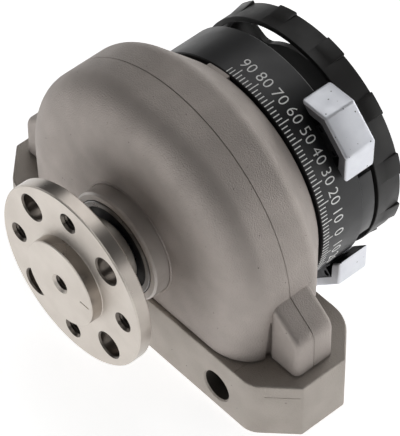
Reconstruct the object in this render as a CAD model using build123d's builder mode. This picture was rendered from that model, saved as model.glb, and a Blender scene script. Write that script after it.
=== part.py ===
from build123d import *
import os
from math import cos, radians, sin, sqrt, tan

os.makedirs("parts", exist_ok=True)

# A vane type rotary actuator. The shaft runs along Y and its output flange faces -Y.
# The origin is the centre of the flange's front face. All sizes are in millimetres.

# Clearances
slip_fit = 0.05
casting_gap = 0.1
running_gap = 0.3
blind_gap = 0.5

# Output flange
flange_radius = 25.0
flange_thickness = 3.9
flange_pitch_radius = 19.0
plain_hole_radius = 3.5
tapped_hole_radius = 2.1
tapped_hole_chamfer = 0.65
boss_radius = 11.75
boss_height = 3.35
centre_tap_depth = 6.0
index_groove_width = 0.5
index_groove_depth = 0.25
hub_radius = 9.0
hub_length = 9.3
shaft_stop = 5.0
grub_radius = 2.0
grub_station = 9.4
flange_edge_chamfer = 0.35

# Output shaft
front_journal_radius = 6.0
shaft_shoulder_radius = 7.0
rear_shoulder_radius = 6.4
rear_journal_radius = 5.0
end_tap_radius = 2.1
end_tap_depth = 14.0
shaft_chamfer = 0.5
shaft_recess = 0.5

# Front housing, a domed casting
housing_front = 18.4
housing_radius = 41.5
dome_flat_radius = 29.75
dome_depth = 8.8
dome_crease = 0.25
flank_draft = 3.0
front_housing_depth = 14.3

# Rear housing, with a conical back
rear_rim_radius = 31.0
rear_rim_chamfer = 0.75
rear_rim_lip = 0.2
rear_band_length = 8.55
cone_rounding = 5.0
tab_start_angle = 88.0
tab_end_angle = 104.0
tab_inner_radius = 29.6
tab_outer_radius = 32.4
tab_length = 2.7
tab_overhang = 0.45

# Chamber between the two halves
chamber_radius = 33.0
chamber_front = 29.0
chamber_length = 15.0
chamber_floor_rise = 7.0
shoulder_bore_radius = 10.0
rear_lip_radius = 8.0
rear_lip_length = 1.2

# Part of the housing that sits in the foot
neck_wall = 0.9
neck_floor_rise = 6.5

# Side lugs
lug_half_width = 50.0
lug_inner_x = 33.5
lug_front_length = 5.5
lug_rear_length = 6.5
lug_shoulder_z = -4.05
lug_top_x = 41.3
lug_top_z = 2.85
lug_rounding = 2.5
lug_edge_rounding = 1.2
lug_screw_x = 45.5
lug_screw_z = -9.2
lug_screw_radius = 2.0
lug_screw_head_radius = 3.4
lug_screw_head_length = 3.6
lug_screw_length = 6.7

# Air ports on the hidden side of the rear housing
port_angles = (155.0, 169.0)
port_station = 36.6
port_radius = 2.1
port_depth = 6.0
port_face_radius = 3.8
port_face_depth = 0.5

# Mounting foot
foot_half_width = 53.15
foot_top_z = -15.1
foot_front = 17.4
foot_rear = 49.7
foot_wall = 4.0
foot_front_chamfer = 9.1
foot_rear_chamfer = 9.4
foot_front_rounding = 6.0
foot_rear_rounding = 11.0
foot_side_rounding = 1.0
foot_edge_rounding = 0.9
foot_hole_x = 32.4
foot_hole_height = 7.5
foot_hole_radius = 4.2
foot_hole_chamfer = 0.4
foot_screw_inset = 2.65
foot_screw_front_y = 25.0
foot_screw_rear_y = 46.3
foot_screw_radius = 1.5
foot_screw_head_radius = 3.0
foot_screw_length = 9.0
countersink_angle = 90.0

# Gasket between the halves
gasket_land = 1.0
gasket_width = 1.1
gasket_depth = 1.1

# Collar and shaft seal
collar_radius = 15.0
collar_height = 4.55
collar_bore_radius = 12.95
collar_chamfer = 0.5
spigot_length = 0.6
seal_ring_inner_radius = 11.4
seal_ring_thickness = 1.0
seal_ring_stand = 0.25
seal_lip_height = 0.9
seal_lip_slope = 1.0
seal_body_inner_radius = 10.6

# Bearings
front_bearing_radius = 14.0
front_bearing_width = 8.0
front_ball_radius = 2.3
front_ball_count = 8
rear_bearing_radius = 11.0
rear_bearing_width = 6.0
rear_ball_radius = 1.6
rear_ball_count = 10
ball_clearance = 0.1
race_overlap = 1.3

# Vane
vane_hub_radius = 10.5
vane_thickness = 6.0
vane_seal_width = 2.0
vane_seal_side = 0.5
key_width = 4.0
key_inner_radius = 5.0
key_outer_radius = 9.0
key_length = 10.0

# Stator block that closes the lower part of the chamber
stator_angle = -90.0
stator_half_angle = 40.0
stator_inner_radius = 11.0
stator_seal_width = 2.0
stator_groove_depth = 3.2
stator_pin_radius = 1.5
stator_pin_inset = 10.5
stator_pin_spread = 24.0
stator_pin_bite = 3.0

# Scale drum
drum_radius = 32.4
drum_length = 13.5
drum_gap = 0.6
drum_wall = 3.0
drum_web = 3.0
drum_seat_inset = 3.0
drum_bore_radius = 9.5
drum_edge_chamfer = 0.25
drum_screw_pitch_radius = 20.0
drum_screw_radius = 1.5
drum_screw_head_radius = 2.75
drum_screw_head_length = 3.0
drum_screw_length = 7.0
drum_screw_count = 3
drum_screw_start_angle = 30.0

# Bridge in the dead sector, which carries the guard
bridge_angle = 1.0
bridge_half_angle = 19.0
bridge_drop = 0.5
bridge_thickness = 5.4
bridge_root = 5.0
bridge_length = 5.3
bridge_step = 1.0

# Rear guard, a castellated wheel
guard_drop = 0.3
guard_length = 7.4
guard_rim = 1.5
guard_web = 1.5
guard_pad_height = 0.95
guard_pad_length = 4.7
guard_pad_half_angle = 5.3
guard_pad_count = 12
guard_pad_start_angle = 15.0
window_width = 8.1
window_margin = 1.2
window_half_angle = 36.0
window_start_angle = 12.0
window_count = 4
window_rounding = 3.6
guard_bore_radius = 6.0
guard_screw_inset = 0.5
guard_screw_spread = 12.0
guard_screw_radius = 1.25
guard_screw_head_radius = 1.7
guard_screw_head_length = 1.5
guard_screw_length = 11.5

# Stop lever on the rear end of the shaft
lever_angle = 180.0
lever_hub_radius = 8.5
lever_clearance = 0.4
lever_thickness = 8.0
lever_tip_half_angle = 3.8
lever_tip_start = 20.0
lever_tip_root = 19.0
lever_root_half_width = 5.0
lever_neck_half_width = 3.2
lever_key_width = 3.0
lever_key_inner_radius = 3.6
lever_key_outer_radius = 6.6
lever_key_length = 12.0
lever_rear_offset = 4.2
lever_washer_radius = 8.0
lever_washer_thickness = 1.2
lever_washer_chamfer = 0.2
lever_screw_radius = 2.0
lever_screw_head_radius = 4.25
lever_screw_head_length = 4.4
lever_screw_length = 12.0

# Adjustable stops, faceted caps on the rear edge of the drum
upper_stop_angle = 44.0
lower_stop_angle = -46.5
stop_rise = 6.0
stop_foot_drop = 0.2
stop_crown_half_width = 5.6
stop_foot_half_width = 11.5
stop_wall = 2.5
stop_front_overlap = 5.55
stop_back_wall = 3.9
leg_half_angle = 3.2
leg_overhang = 1.0
jaw_thickness = 0.4
jaw_half_angle = 12.0
jaw_block_half_width = 4.3
jaw_block_gap = 0.2
stop_screw_radius = 0.8
stop_screw_head_radius = 1.9
stop_screw_head_length = 1.4
stop_screw_spread = 3.2
stop_screw_inset = 1.0
stop_screw_length = 8.0
buffer_angle = 1.3
buffer_length = 5.0
buffer_inset = 0.5
buffer_edge = 0.4

# Stations along the shaft, worked out from the lengths above
hub_rear = flange_thickness + hub_length
collar_front = housing_front - collar_height
seal_ring_front = collar_front - seal_ring_stand
seal_ring_rear = seal_ring_front + seal_ring_thickness
front_bearing_front = housing_front + spigot_length
front_bearing_rear = front_bearing_front + front_bearing_width
parting = housing_front + front_housing_depth
dome_reach = housing_radius - dome_flat_radius - dome_crease
dome_end = housing_front + dome_depth
chamber_rear = chamber_front + chamber_length
rear_bearing_front = chamber_rear + rear_lip_length
housing_rear = rear_bearing_front + rear_bearing_width
cone_start = parting + rear_band_length
cone_edge_radius = rear_rim_radius + rear_rim_chamfer
neck_front = foot_front + foot_wall
drum_front = housing_rear + drum_gap
drum_rear = drum_front + drum_length
bridge_rear = drum_rear + bridge_length
guard_rear = bridge_rear + guard_length
guard_web_front = guard_rear - guard_web
stop_front = drum_rear - stop_front_overlap
leg_front = drum_rear + running_gap
stop_rear = leg_front + stop_back_wall
lever_rear = drum_rear + lever_rear_offset
shaft_rear = lever_rear - shaft_recess
lug_front = parting - lug_front_length
lug_rear = parting + lug_rear_length
vane_front = chamber_front + running_gap
vane_rear = chamber_rear - running_gap
vane_tip_radius = chamber_radius - running_gap
stator_groove_bottom = stator_inner_radius + stator_groove_depth
chamber_floor = chamber_radius - chamber_floor_rise
vane_core_radius = chamber_radius - vane_seal_width
stator_pin_pitch_radius = chamber_radius - stator_pin_inset
gasket_inner_radius = chamber_radius + gasket_land
gasket_outer_radius = gasket_inner_radius + gasket_width
gasket_floor = chamber_floor + gasket_land + casting_gap
gasket_outer_floor = gasket_floor + gasket_width
neck_radius = gasket_outer_radius + neck_wall
neck_floor = neck_radius - neck_floor_rise
foot_bottom_z = -(neck_floor + foot_wall)
foot_hole_z = foot_bottom_z + foot_hole_height
foot_screw_x = sqrt(neck_radius**2 - neck_floor**2) - foot_screw_inset
drum_clear_radius = drum_radius + running_gap
stop_foot_radius = drum_radius - stop_foot_drop
stop_crown_radius = stop_foot_radius + stop_rise
jaw_block_top = stop_crown_radius - stop_wall - jaw_block_gap
stop_screw_reach = jaw_block_top - stop_screw_inset
drum_seat_radius = rear_rim_radius - drum_seat_inset
bridge_radius = drum_radius - bridge_drop
bridge_step_radius = bridge_radius - guard_rim
bridge_inner_radius = bridge_radius - bridge_thickness
guard_radius = drum_radius - guard_drop
guard_pad_radius = guard_radius + guard_pad_height
window_outer_radius = guard_radius - guard_rim - window_margin
window_inner_radius = window_outer_radius - window_width
guard_screw_pitch_radius = (bridge_inner_radius + bridge_radius) / 2 - guard_screw_inset
lever_reach = drum_radius - drum_wall - lever_clearance
buffer_outer_radius = lever_reach - buffer_inset
buffer_inner_radius = buffer_outer_radius - buffer_length
leg_inner_radius = buffer_inner_radius - leg_overhang


def station(y):
    """Plane across the shaft at y, with +X to the right, +Z up and its normal towards the flange."""
    return Plane(origin=(0, y, 0), x_dir=(1, 0, 0), z_dir=(0, -1, 0))


def rear_station(y):
    """Plane across the shaft at y, seen from behind, with its normal away from the flange."""
    return Plane(origin=(0, y, 0), x_dir=(-1, 0, 0), z_dir=(0, 1, 0))


def turned_station(y, angle):
    """Plane across the shaft at y whose local x runs outwards at the given scale angle."""
    outwards = (cos(radians(angle)), 0, sin(radians(angle)))
    return Plane(origin=(0, y, 0), x_dir=outwards, z_dir=(0, -1, 0))


def polar(radius, angle):
    """Point of a sketch at a radius and a scale angle."""
    return (radius * cos(radians(angle)), radius * sin(radians(angle)))


def sector(inner, outer, middle, half, mode=Mode.ADD):
    """Ring sector about the shaft, half degrees to each side of the middle angle."""
    with BuildLine() as outline:
        far = CenterArc((0, 0), outer, middle - half, 2 * half)
        near = CenterArc((0, 0), inner, middle - half, 2 * half)
        Line(far @ 0, near @ 0)
        Line(far @ 1, near @ 1)
    make_face(outline.edges(), mode=mode)


def flat_bottomed_disc(radius, floor, mode=Mode.ADD):
    """Disc about the shaft, cut off level at a depth below it."""
    half_span = sqrt(radius**2 - floor**2)
    with BuildLine() as outline:
        rim = ThreePointArc((-half_span, -floor), (0, radius), (half_span, -floor))
        Line(rim @ 1, rim @ 0)
    make_face(outline.edges(), mode=mode)


def tube(inner, outer, front, rear):
    """Ring about the shaft from front to rear."""
    with BuildSketch(station(front)) as ring:
        Circle(outer)
        if inner > 0:
            Circle(inner, mode=Mode.SUBTRACT)
    extrude(ring.sketch, amount=front - rear)


def bore(radius, front, rear):
    """Round hole about the shaft from front to rear."""
    with BuildSketch(station(front)) as disc:
        Circle(radius)
    extrude(disc.sketch, amount=front - rear, mode=Mode.SUBTRACT)


def finish_part(part, name):
    """Name a finished piece and write its file."""
    part.label = name
    export_step(part, f"parts/{name}.step")


# Output flange: a disc with a centring boss, four plain and four tapped holes, and a hub
with BuildPart() as output_flange:
    tube(0, flange_radius, 0, flange_thickness)
    tube(0, boss_radius, -boss_height, 0)
    chamfer(output_flange.edges().filter_by(GeomType.CIRCLE).group_by(Axis.Y)[0], flange_edge_chamfer)
    rim_edges = output_flange.edges().filter_by(GeomType.CIRCLE)
    chamfer(rim_edges.filter_by(lambda edge: abs(edge.radius - flange_radius) < 0.01), flange_edge_chamfer)
    tube(0, hub_radius, flange_thickness, hub_rear)
    bore(front_journal_radius + slip_fit, shaft_stop, hub_rear)
    with Locations(station(0)):
        with PolarLocations(flange_pitch_radius, 4, start_angle=45):
            Hole(plain_hole_radius, depth=flange_thickness)
        with PolarLocations(flange_pitch_radius, 4):
            tapped_top = tapped_hole_radius + tapped_hole_chamfer
            CounterSinkHole(tapped_hole_radius, tapped_top, counter_sink_angle=90, depth=flange_thickness)
    with Locations(station(-boss_height)):
        CounterSinkHole(
            tapped_hole_radius,
            tapped_hole_radius + tapped_hole_chamfer,
            counter_sink_angle=90,
            depth=centre_tap_depth,
        )
    with BuildSketch(station(-boss_height)):
        groove_start = tapped_hole_radius + 2 * tapped_hole_chamfer
        groove_length = boss_radius - groove_start
        with Locations((groove_start + groove_length / 2, 0)):
            Rectangle(groove_length, index_groove_width)
    extrude(amount=-index_groove_depth, mode=Mode.SUBTRACT)
    with BuildSketch(Plane.XY.offset(-hub_radius)):
        with Locations((0, grub_station)):
            Circle(grub_radius + slip_fit)
    extrude(amount=2 * hub_radius, mode=Mode.SUBTRACT)
finish_part(output_flange.part, "output_flange")

# Two grub screws that lock the flange to the shaft
with BuildPart() as flange_grub_screws:
    grub_bottom = front_journal_radius + slip_fit
    for side in (1, -1):
        with BuildSketch(Plane.XY.offset(side * grub_bottom)):
            with Locations((0, grub_station)):
                Circle(grub_radius)
        extrude(amount=side * (hub_radius - grub_bottom - running_gap))
        with BuildSketch(Plane.XY.offset(side * (hub_radius - running_gap))):
            with Locations((0, grub_station)):
                RegularPolygon(grub_radius / 2, 6)
        extrude(amount=-side * grub_radius / 2, mode=Mode.SUBTRACT)
finish_part(flange_grub_screws.part, "flange_grub_screws")

# Output shaft, stepped for both bearings, with two keyways and a tapped rear end
with BuildPart() as output_shaft:
    tube(0, front_journal_radius, shaft_stop, front_bearing_rear)
    tube(0, shaft_shoulder_radius, front_bearing_rear, chamber_rear)
    tube(0, rear_shoulder_radius, chamber_rear, rear_bearing_front)
    tube(0, rear_journal_radius, rear_bearing_front, shaft_rear)
    chamfer(output_shaft.edges().group_by(Axis.Y)[0], shaft_chamfer)
    chamfer(output_shaft.edges().group_by(Axis.Y)[-1], shaft_chamfer)
    key_front = (vane_front + vane_rear - key_length) / 2
    with BuildSketch(station(key_front)):
        with Locations((0, -(key_inner_radius + key_outer_radius) / 2)):
            Rectangle(key_width, key_outer_radius - key_inner_radius)
    extrude(amount=-key_length, mode=Mode.SUBTRACT)
    lever_key_front = lever_rear - lever_thickness / 2 - lever_key_length
    lever_key_middle = (lever_key_inner_radius + lever_key_outer_radius) / 2
    with BuildSketch(turned_station(lever_key_front, lever_angle)):
        with Locations((lever_key_middle, 0)):
            Rectangle(lever_key_outer_radius - lever_key_inner_radius, lever_key_width)
    extrude(amount=-lever_key_length, mode=Mode.SUBTRACT)
    with Locations(rear_station(shaft_rear)):
        Hole(end_tap_radius, depth=end_tap_depth)
finish_part(output_shaft.part, "output_shaft")


def bearing(name, inner_radius, outer_radius, front, width, ball_radius, ball_count):
    """Deep groove ball bearing, written as its inner ring, its outer ring and its balls."""
    pitch_radius = (inner_radius + outer_radius) / 2
    middle = front + width / 2
    with BuildPart() as groove:
        with BuildSketch(Plane.XY):
            with Locations((pitch_radius, middle)):
                Circle(ball_radius + ball_clearance)
        revolve(axis=Axis.Y)
    with BuildPart() as inner_ring:
        tube(inner_radius, pitch_radius - race_overlap, front, front + width)
        add(groove.part, mode=Mode.SUBTRACT)
    with BuildPart() as outer_ring:
        tube(pitch_radius + race_overlap, outer_radius - slip_fit, front, front + width)
        add(groove.part, mode=Mode.SUBTRACT)
    with BuildPart() as balls:
        with Locations(station(middle)):
            with PolarLocations(pitch_radius, ball_count):
                Sphere(ball_radius)
    finish_part(inner_ring.part, f"{name}_inner")
    finish_part(outer_ring.part, f"{name}_outer")
    finish_part(balls.part, f"{name}_balls")


bearing(
    "front_bearing",
    front_journal_radius,
    front_bearing_radius,
    front_bearing_front,
    front_bearing_width,
    front_ball_radius,
    front_ball_count,
)
bearing(
    "rear_bearing",
    rear_journal_radius,
    rear_bearing_radius,
    rear_bearing_front,
    rear_bearing_width,
    rear_ball_radius,
    rear_ball_count,
)

# Collar round the shaft, which holds the seal and keeps the front bearing in
with BuildPart() as seal_collar:
    tube(collar_bore_radius, collar_radius, collar_front, housing_front)
    outer_front = seal_collar.edges().group_by(Axis.Y)[0].sort_by(SortBy.LENGTH)[-1]
    chamfer(outer_front, collar_chamfer)
    tube(collar_bore_radius, front_bearing_radius - slip_fit, housing_front, front_bearing_front)
finish_part(seal_collar.part, "seal_collar")

with BuildPart() as seal_ring:
    tube(seal_ring_inner_radius, collar_bore_radius - casting_gap, seal_ring_front, seal_ring_rear)
finish_part(seal_ring.part, "seal_ring")

# Shaft seal, a rubber cup with a lip on the shaft
with BuildPart() as shaft_seal:
    with BuildSketch(Plane.XY):
        lip_radius = front_journal_radius + casting_gap
        with BuildLine():
            Polyline(
                (collar_bore_radius - slip_fit, seal_ring_rear),
                (collar_bore_radius - slip_fit, front_bearing_front),
                (seal_body_inner_radius, front_bearing_front),
                (seal_body_inner_radius, seal_ring_rear + 2 * seal_lip_height),
                (lip_radius + seal_lip_slope, seal_ring_rear + 2 * seal_lip_height),
                (lip_radius, seal_ring_rear + seal_lip_height),
                (lip_radius + seal_lip_slope, seal_ring_rear),
                close=True,
            )
        make_face()
    revolve(axis=Axis.Y)
finish_part(shaft_seal.part, "shaft_seal")


def side_lug(front, rear):
    """Right-hand lug between two stations, with rounded outer edges."""
    with BuildPart() as lug:
        with BuildSketch(station(front)) as outline:
            Polygon(
                (lug_inner_x, foot_top_z),
                (lug_half_width, foot_top_z),
                (lug_half_width, lug_shoulder_z),
                (lug_top_x, lug_top_z),
                (lug_inner_x, lug_top_z),
                align=None,
            )
            corner = outline.vertices().sort_by_distance((lug_half_width, front, lug_shoulder_z))[0]
            fillet(corner, lug_rounding)
        extrude(amount=front - rear)
        outer_face = lug.faces().sort_by(Axis.Y)[0 if front == lug_front else -1]
        seen_edges = outer_face.edges().filter_by(lambda edge: edge.center().X > lug_top_x)
        fillet(seen_edges.filter_by(lambda edge: edge.center().Z > foot_top_z + slip_fit), lug_edge_rounding)
    return lug.part


def dome_section():
    """Half section of the front housing: a flat face, a domed shoulder, a short band."""
    with BuildLine() as outline:
        Line((0, housing_front), (dome_flat_radius, housing_front))
        shoulder = EllipticalCenterArc(
            (dome_flat_radius, dome_end), dome_reach, dome_depth, start_angle=-90, arc_size=90
        )
        Polyline(
            shoulder @ 1,
            (housing_radius, dome_end + dome_crease),
            (housing_radius, parting),
            (0, parting),
            (0, housing_front),
        )
    make_face(outline.edges())


def cone_section():
    """Half section of the rear housing: a band, a rounded corner, a cone, a rim."""
    with BuildLine() as outline:
        Polyline(
            (0, parting),
            (housing_radius, parting),
            (housing_radius, cone_start),
            (cone_edge_radius, housing_rear - rear_rim_lip),
            (rear_rim_radius, housing_rear),
            (0, housing_rear),
            (0, parting),
        )
        fillet(outline.vertices().sort_by_distance((housing_radius, cone_start, 0))[0], cone_rounding)
    make_face(outline.edges())


def flank(section):
    """Right-hand flank: the half section drawn down from the round with a draft, past the foot's top."""
    draft = radians(flank_draft)
    tangent_plane = Plane(
        origin=(0, 0, 0), x_dir=(cos(draft), 0, -sin(draft)), z_dir=(sin(draft), 0, cos(draft))
    )
    with BuildPart() as side:
        with BuildSketch(tangent_plane) as drawn:
            section()
        extrude(drawn.sketch, amount=foot_top_z - neck_wall)
    return side.part


def shape_neck(front, rear):
    """Narrow the housing below the top of the foot to the neck that sits in the foot."""
    wide = 3 * housing_radius
    with BuildSketch(station(front)) as waste:
        with Locations((0, foot_top_z - wide / 2)):
            Rectangle(wide, wide)
        Circle(neck_radius, mode=Mode.SUBTRACT)
        with Locations((0, -neck_floor - wide / 2)):
            Rectangle(wide, wide)
    extrude(waste.sketch, amount=front - rear, mode=Mode.SUBTRACT)


def cut_chamber(front, rear):
    """Take the pressure chamber out of a housing half."""
    with BuildSketch(station(front)) as chamber:
        flat_bottomed_disc(chamber_radius, chamber_floor)
    extrude(chamber.sketch, amount=front - rear, mode=Mode.SUBTRACT)


foot_screw_places = [
    (foot_screw_x, foot_screw_front_y),
    (-foot_screw_x, foot_screw_front_y),
    (foot_screw_x, foot_screw_rear_y),
    (-foot_screw_x, foot_screw_rear_y),
]


def foot_screw_holes(front, rear):
    """Tapped holes for the foot screws in the flat bottom of a housing half."""
    depth = foot_screw_length + foot_bottom_z + neck_floor + blind_gap
    places = [(x, y) for (x, y) in foot_screw_places if front < y < rear]
    with BuildSketch(Plane.XY.offset(-neck_floor)) as holes:
        with Locations(*places):
            Circle(foot_screw_radius + slip_fit)
    extrude(holes.sketch, amount=depth, mode=Mode.SUBTRACT)


def lug_screw_places():
    """Both lug screw centres on a plane across the shaft."""
    return Locations((lug_screw_x, lug_screw_z), (-lug_screw_x, lug_screw_z))


front_lug = side_lug(lug_front, parting)
rear_lug = side_lug(parting, lug_rear)
stator_pin_angles = (stator_angle - stator_pin_spread, stator_angle + stator_pin_spread)
stator_pin_places = [polar(stator_pin_pitch_radius, angle) for angle in stator_pin_angles]

# Front housing: an elliptical dome, two half lugs and a neck in the foot
with BuildPart() as front_housing:
    with BuildSketch(Plane.XY):
        dome_section()
    revolve(axis=Axis.Y)
    front_flank = flank(dome_section)
    add(front_flank)
    add(front_flank.mirror(Plane.YZ))
    add(front_lug)
    add(front_lug.mirror(Plane.YZ))
    shape_neck(housing_front, parting)
    with BuildSketch(station(housing_front)):
        with Locations((0, foot_top_z - housing_radius / 2)):
            Rectangle(2 * housing_radius, housing_radius)
    extrude(amount=housing_front - neck_front, mode=Mode.SUBTRACT)
    bore(front_bearing_radius, housing_front, front_bearing_rear)
    bore(shoulder_bore_radius, front_bearing_rear, chamber_front)
    cut_chamber(chamber_front, parting)
    foot_screw_holes(housing_front, parting)
    with BuildSketch(station(parting)):
        with lug_screw_places():
            Circle(lug_screw_radius + slip_fit)
    lug_tap_depth = lug_screw_length + lug_screw_head_length - lug_rear_length + blind_gap
    extrude(amount=lug_tap_depth, mode=Mode.SUBTRACT)
    with BuildSketch(station(chamber_front)):
        with Locations(*stator_pin_places):
            Circle(stator_pin_radius + slip_fit)
    extrude(amount=stator_pin_bite, mode=Mode.SUBTRACT)
finish_part(front_housing.part, "front_housing")

# Rear housing: a band, a rounded cone, a rim with a raised tab, two half lugs
with BuildPart() as rear_housing:
    with BuildSketch(Plane.XY):
        cone_section()
    revolve(axis=Axis.Y)
    rear_flank = flank(cone_section)
    add(rear_flank)
    add(rear_flank.mirror(Plane.YZ))
    tab_front = housing_rear + tab_overhang - tab_length
    with BuildSketch(station(tab_front)):
        tab_half_angle = (tab_end_angle - tab_start_angle) / 2
        sector(tab_inner_radius, tab_outer_radius, tab_start_angle + tab_half_angle, tab_half_angle)
    extrude(amount=-tab_length)
    add(rear_lug)
    add(rear_lug.mirror(Plane.YZ))
    shape_neck(parting, housing_rear)
    cut_chamber(parting, chamber_rear)
    bore(rear_lip_radius, chamber_rear, rear_bearing_front)
    bore(rear_bearing_radius, rear_bearing_front, housing_rear)
    foot_screw_holes(parting, housing_rear)
    with BuildSketch(station(parting)):
        flat_bottomed_disc(gasket_outer_radius + casting_gap, gasket_outer_floor + casting_gap)
        flat_bottomed_disc(gasket_inner_radius - casting_gap, gasket_floor - casting_gap, mode=Mode.SUBTRACT)
    extrude(amount=-gasket_depth, mode=Mode.SUBTRACT)
    with Locations(rear_station(lug_rear)):
        with lug_screw_places():
            CounterBoreHole(
                lug_screw_radius + slip_fit,
                lug_screw_head_radius + casting_gap,
                lug_screw_head_length,
                depth=lug_rear_length,
            )
    with Locations(rear_station(housing_rear)):
        with PolarLocations(drum_screw_pitch_radius, drum_screw_count, start_angle=drum_screw_start_angle):
            Hole(drum_screw_radius + slip_fit, depth=drum_screw_length - drum_web + blind_gap)
    with BuildSketch(station(chamber_rear)):
        with Locations(*stator_pin_places):
            Circle(stator_pin_radius + slip_fit)
    extrude(amount=-stator_pin_bite, mode=Mode.SUBTRACT)
    for angle in port_angles:
        (port_x, port_z) = polar(housing_radius, angle)
        with Locations(Plane(origin=(port_x, port_station, port_z), z_dir=(port_x, 0, port_z))):
            CounterBoreHole(port_radius, port_face_radius, port_face_depth, depth=port_depth)
finish_part(rear_housing.part, "rear_housing")

# Cord gasket in its groove round the chamber
with BuildPart() as housing_gasket:
    with BuildSketch(station(parting)):
        flat_bottomed_disc(gasket_outer_radius, gasket_outer_floor)
        flat_bottomed_disc(gasket_inner_radius, gasket_floor, mode=Mode.SUBTRACT)
    extrude(amount=-gasket_depth)
finish_part(housing_gasket.part, "housing_gasket")


def cap_screw(place, radius, length, head_radius, head_length):
    """Socket head screw whose shank points into the plane's back, with the head on its face."""
    with BuildSketch(place) as head:
        Circle(head_radius)
    extrude(head.sketch, amount=head_length)
    with BuildSketch(place.offset(head_length)) as socket:
        RegularPolygon(head_radius / 2, 6)
    extrude(socket.sketch, amount=-head_length / 2, mode=Mode.SUBTRACT)
    with BuildSketch(place) as shank:
        Circle(radius)
    extrude(shank.sketch, amount=-length)


def shifted(plane, x, y):
    """The same plane with its origin moved within itself."""
    return plane.shift_origin(plane.from_local_coords((x, y, 0)))


# Screws through the lugs, from behind
with BuildPart() as housing_screws:
    for side in (1, -1):
        seat = shifted(rear_station(lug_rear - lug_screw_head_length), side * lug_screw_x, lug_screw_z)
        cap_screw(seat, lug_screw_radius, lug_screw_length, lug_screw_head_radius, lug_screw_head_length)
finish_part(housing_screws.part, "housing_screws")

# Mounting foot: a chamfered block with a saddle for the housing and two long holes
with BuildPart() as mounting_foot:
    front_corner_x = foot_half_width - foot_front_chamfer
    rear_corner_x = foot_half_width - foot_rear_chamfer
    with BuildSketch(Plane.XY.offset(foot_bottom_z)) as plan:
        Polygon(
            (-front_corner_x, foot_front),
            (front_corner_x, foot_front),
            (foot_half_width, foot_front + foot_front_chamfer),
            (foot_half_width, foot_rear - foot_rear_chamfer),
            (rear_corner_x, foot_rear),
            (-rear_corner_x, foot_rear),
            (-foot_half_width, foot_rear - foot_rear_chamfer),
            (-foot_half_width, foot_front + foot_front_chamfer),
            align=None,
        )
        fillet(plan.vertices().group_by(Axis.Y)[0], foot_front_rounding)
        fillet(plan.vertices().group_by(Axis.Y)[-1], foot_rear_rounding)
        fillet(plan.vertices().group_by(Axis.X)[0] + plan.vertices().group_by(Axis.X)[-1], foot_side_rounding)
    extrude(amount=foot_top_z - foot_bottom_z)
    fillet(mounting_foot.edges().group_by(Axis.Z)[-1], foot_edge_rounding)
    chamfer(mounting_foot.edges().group_by(Axis.Z)[0], foot_edge_rounding)
    with BuildSketch(station(neck_front)):
        flat_bottomed_disc(neck_radius + casting_gap, neck_floor)
    extrude(amount=neck_front - foot_rear, mode=Mode.SUBTRACT)
    with BuildSketch(station(foot_front)):
        with Locations((foot_hole_x, foot_hole_z), (-foot_hole_x, foot_hole_z)):
            Circle(foot_hole_radius)
    extrude(amount=foot_front - foot_rear, mode=Mode.SUBTRACT)
    mouths = mounting_foot.edges().filter_by(GeomType.CIRCLE)
    mouths = mouths.filter_by(lambda edge: abs(edge.radius - foot_hole_radius) < 0.01)
    chamfer(mouths, foot_hole_chamfer)
    with Locations(Plane(origin=(0, 0, foot_bottom_z), x_dir=(1, 0, 0), z_dir=(0, 0, -1))):
        with Locations(*[(x, -y) for (x, y) in foot_screw_places]):
            CounterSinkHole(
                foot_screw_radius + slip_fit,
                foot_screw_head_radius + casting_gap,
                counter_sink_angle=countersink_angle,
                depth=-neck_floor - foot_bottom_z,
            )
finish_part(mounting_foot.part, "mounting_foot")

# Countersunk screws that hold both housing halves down on the foot
with BuildPart() as foot_screws:
    head_height = foot_screw_head_radius - foot_screw_radius
    standing = (Align.CENTER, Align.CENTER, Align.MIN)
    with Locations(Plane.XY.offset(foot_bottom_z + casting_gap)):
        with Locations(*foot_screw_places):
            Cone(foot_screw_head_radius, foot_screw_radius, head_height, align=standing)
            Cylinder(foot_screw_radius, foot_screw_length, align=standing)
    with BuildSketch(Plane.XY.offset(foot_bottom_z + casting_gap)):
        with Locations(*foot_screw_places):
            RegularPolygon(foot_screw_head_radius / 3, 6)
    extrude(amount=head_height, mode=Mode.SUBTRACT)
finish_part(foot_screws.part, "foot_screws")

# Vane: a keyed hub and one wing that points up at rest
with BuildPart() as vane:
    tube(0, vane_hub_radius, vane_front, vane_rear)
    with BuildSketch(station(vane_front + vane_seal_side)):
        with Locations((0, vane_core_radius / 2)):
            Rectangle(vane_thickness, vane_core_radius)
    extrude(amount=vane_front - vane_rear + 2 * vane_seal_side)
    bore(shaft_shoulder_radius + slip_fit, vane_front, vane_rear)
    with BuildSketch(station(vane_front)):
        with Locations((0, -key_outer_radius / 2)):
            Rectangle(key_width, key_outer_radius)
    extrude(amount=vane_front - vane_rear, mode=Mode.SUBTRACT)
finish_part(vane.part, "vane")

with BuildPart() as vane_key:
    with BuildSketch(station(key_front)):
        with Locations((0, -(key_inner_radius + key_outer_radius) / 2)):
            Rectangle(key_width, key_outer_radius - key_inner_radius)
    extrude(amount=-key_length)
finish_part(vane_key.part, "vane_key")

# Moulded seal round the three free edges of the wing
with BuildPart() as vane_seal:
    with BuildSketch(station(vane_front)):
        Circle(vane_tip_radius)
        with Locations((0, vane_tip_radius / 2)):
            Rectangle(vane_thickness, vane_tip_radius, mode=Mode.INTERSECT)
        Circle(vane_hub_radius, mode=Mode.SUBTRACT)
    extrude(amount=vane_front - vane_rear)
    with BuildSketch(station(vane_front + vane_seal_side)):
        with Locations((0, vane_core_radius / 2)):
            Rectangle(vane_thickness, vane_core_radius)
    extrude(amount=vane_front - vane_rear + 2 * vane_seal_side, mode=Mode.SUBTRACT)
finish_part(vane_seal.part, "vane_seal")

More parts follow.
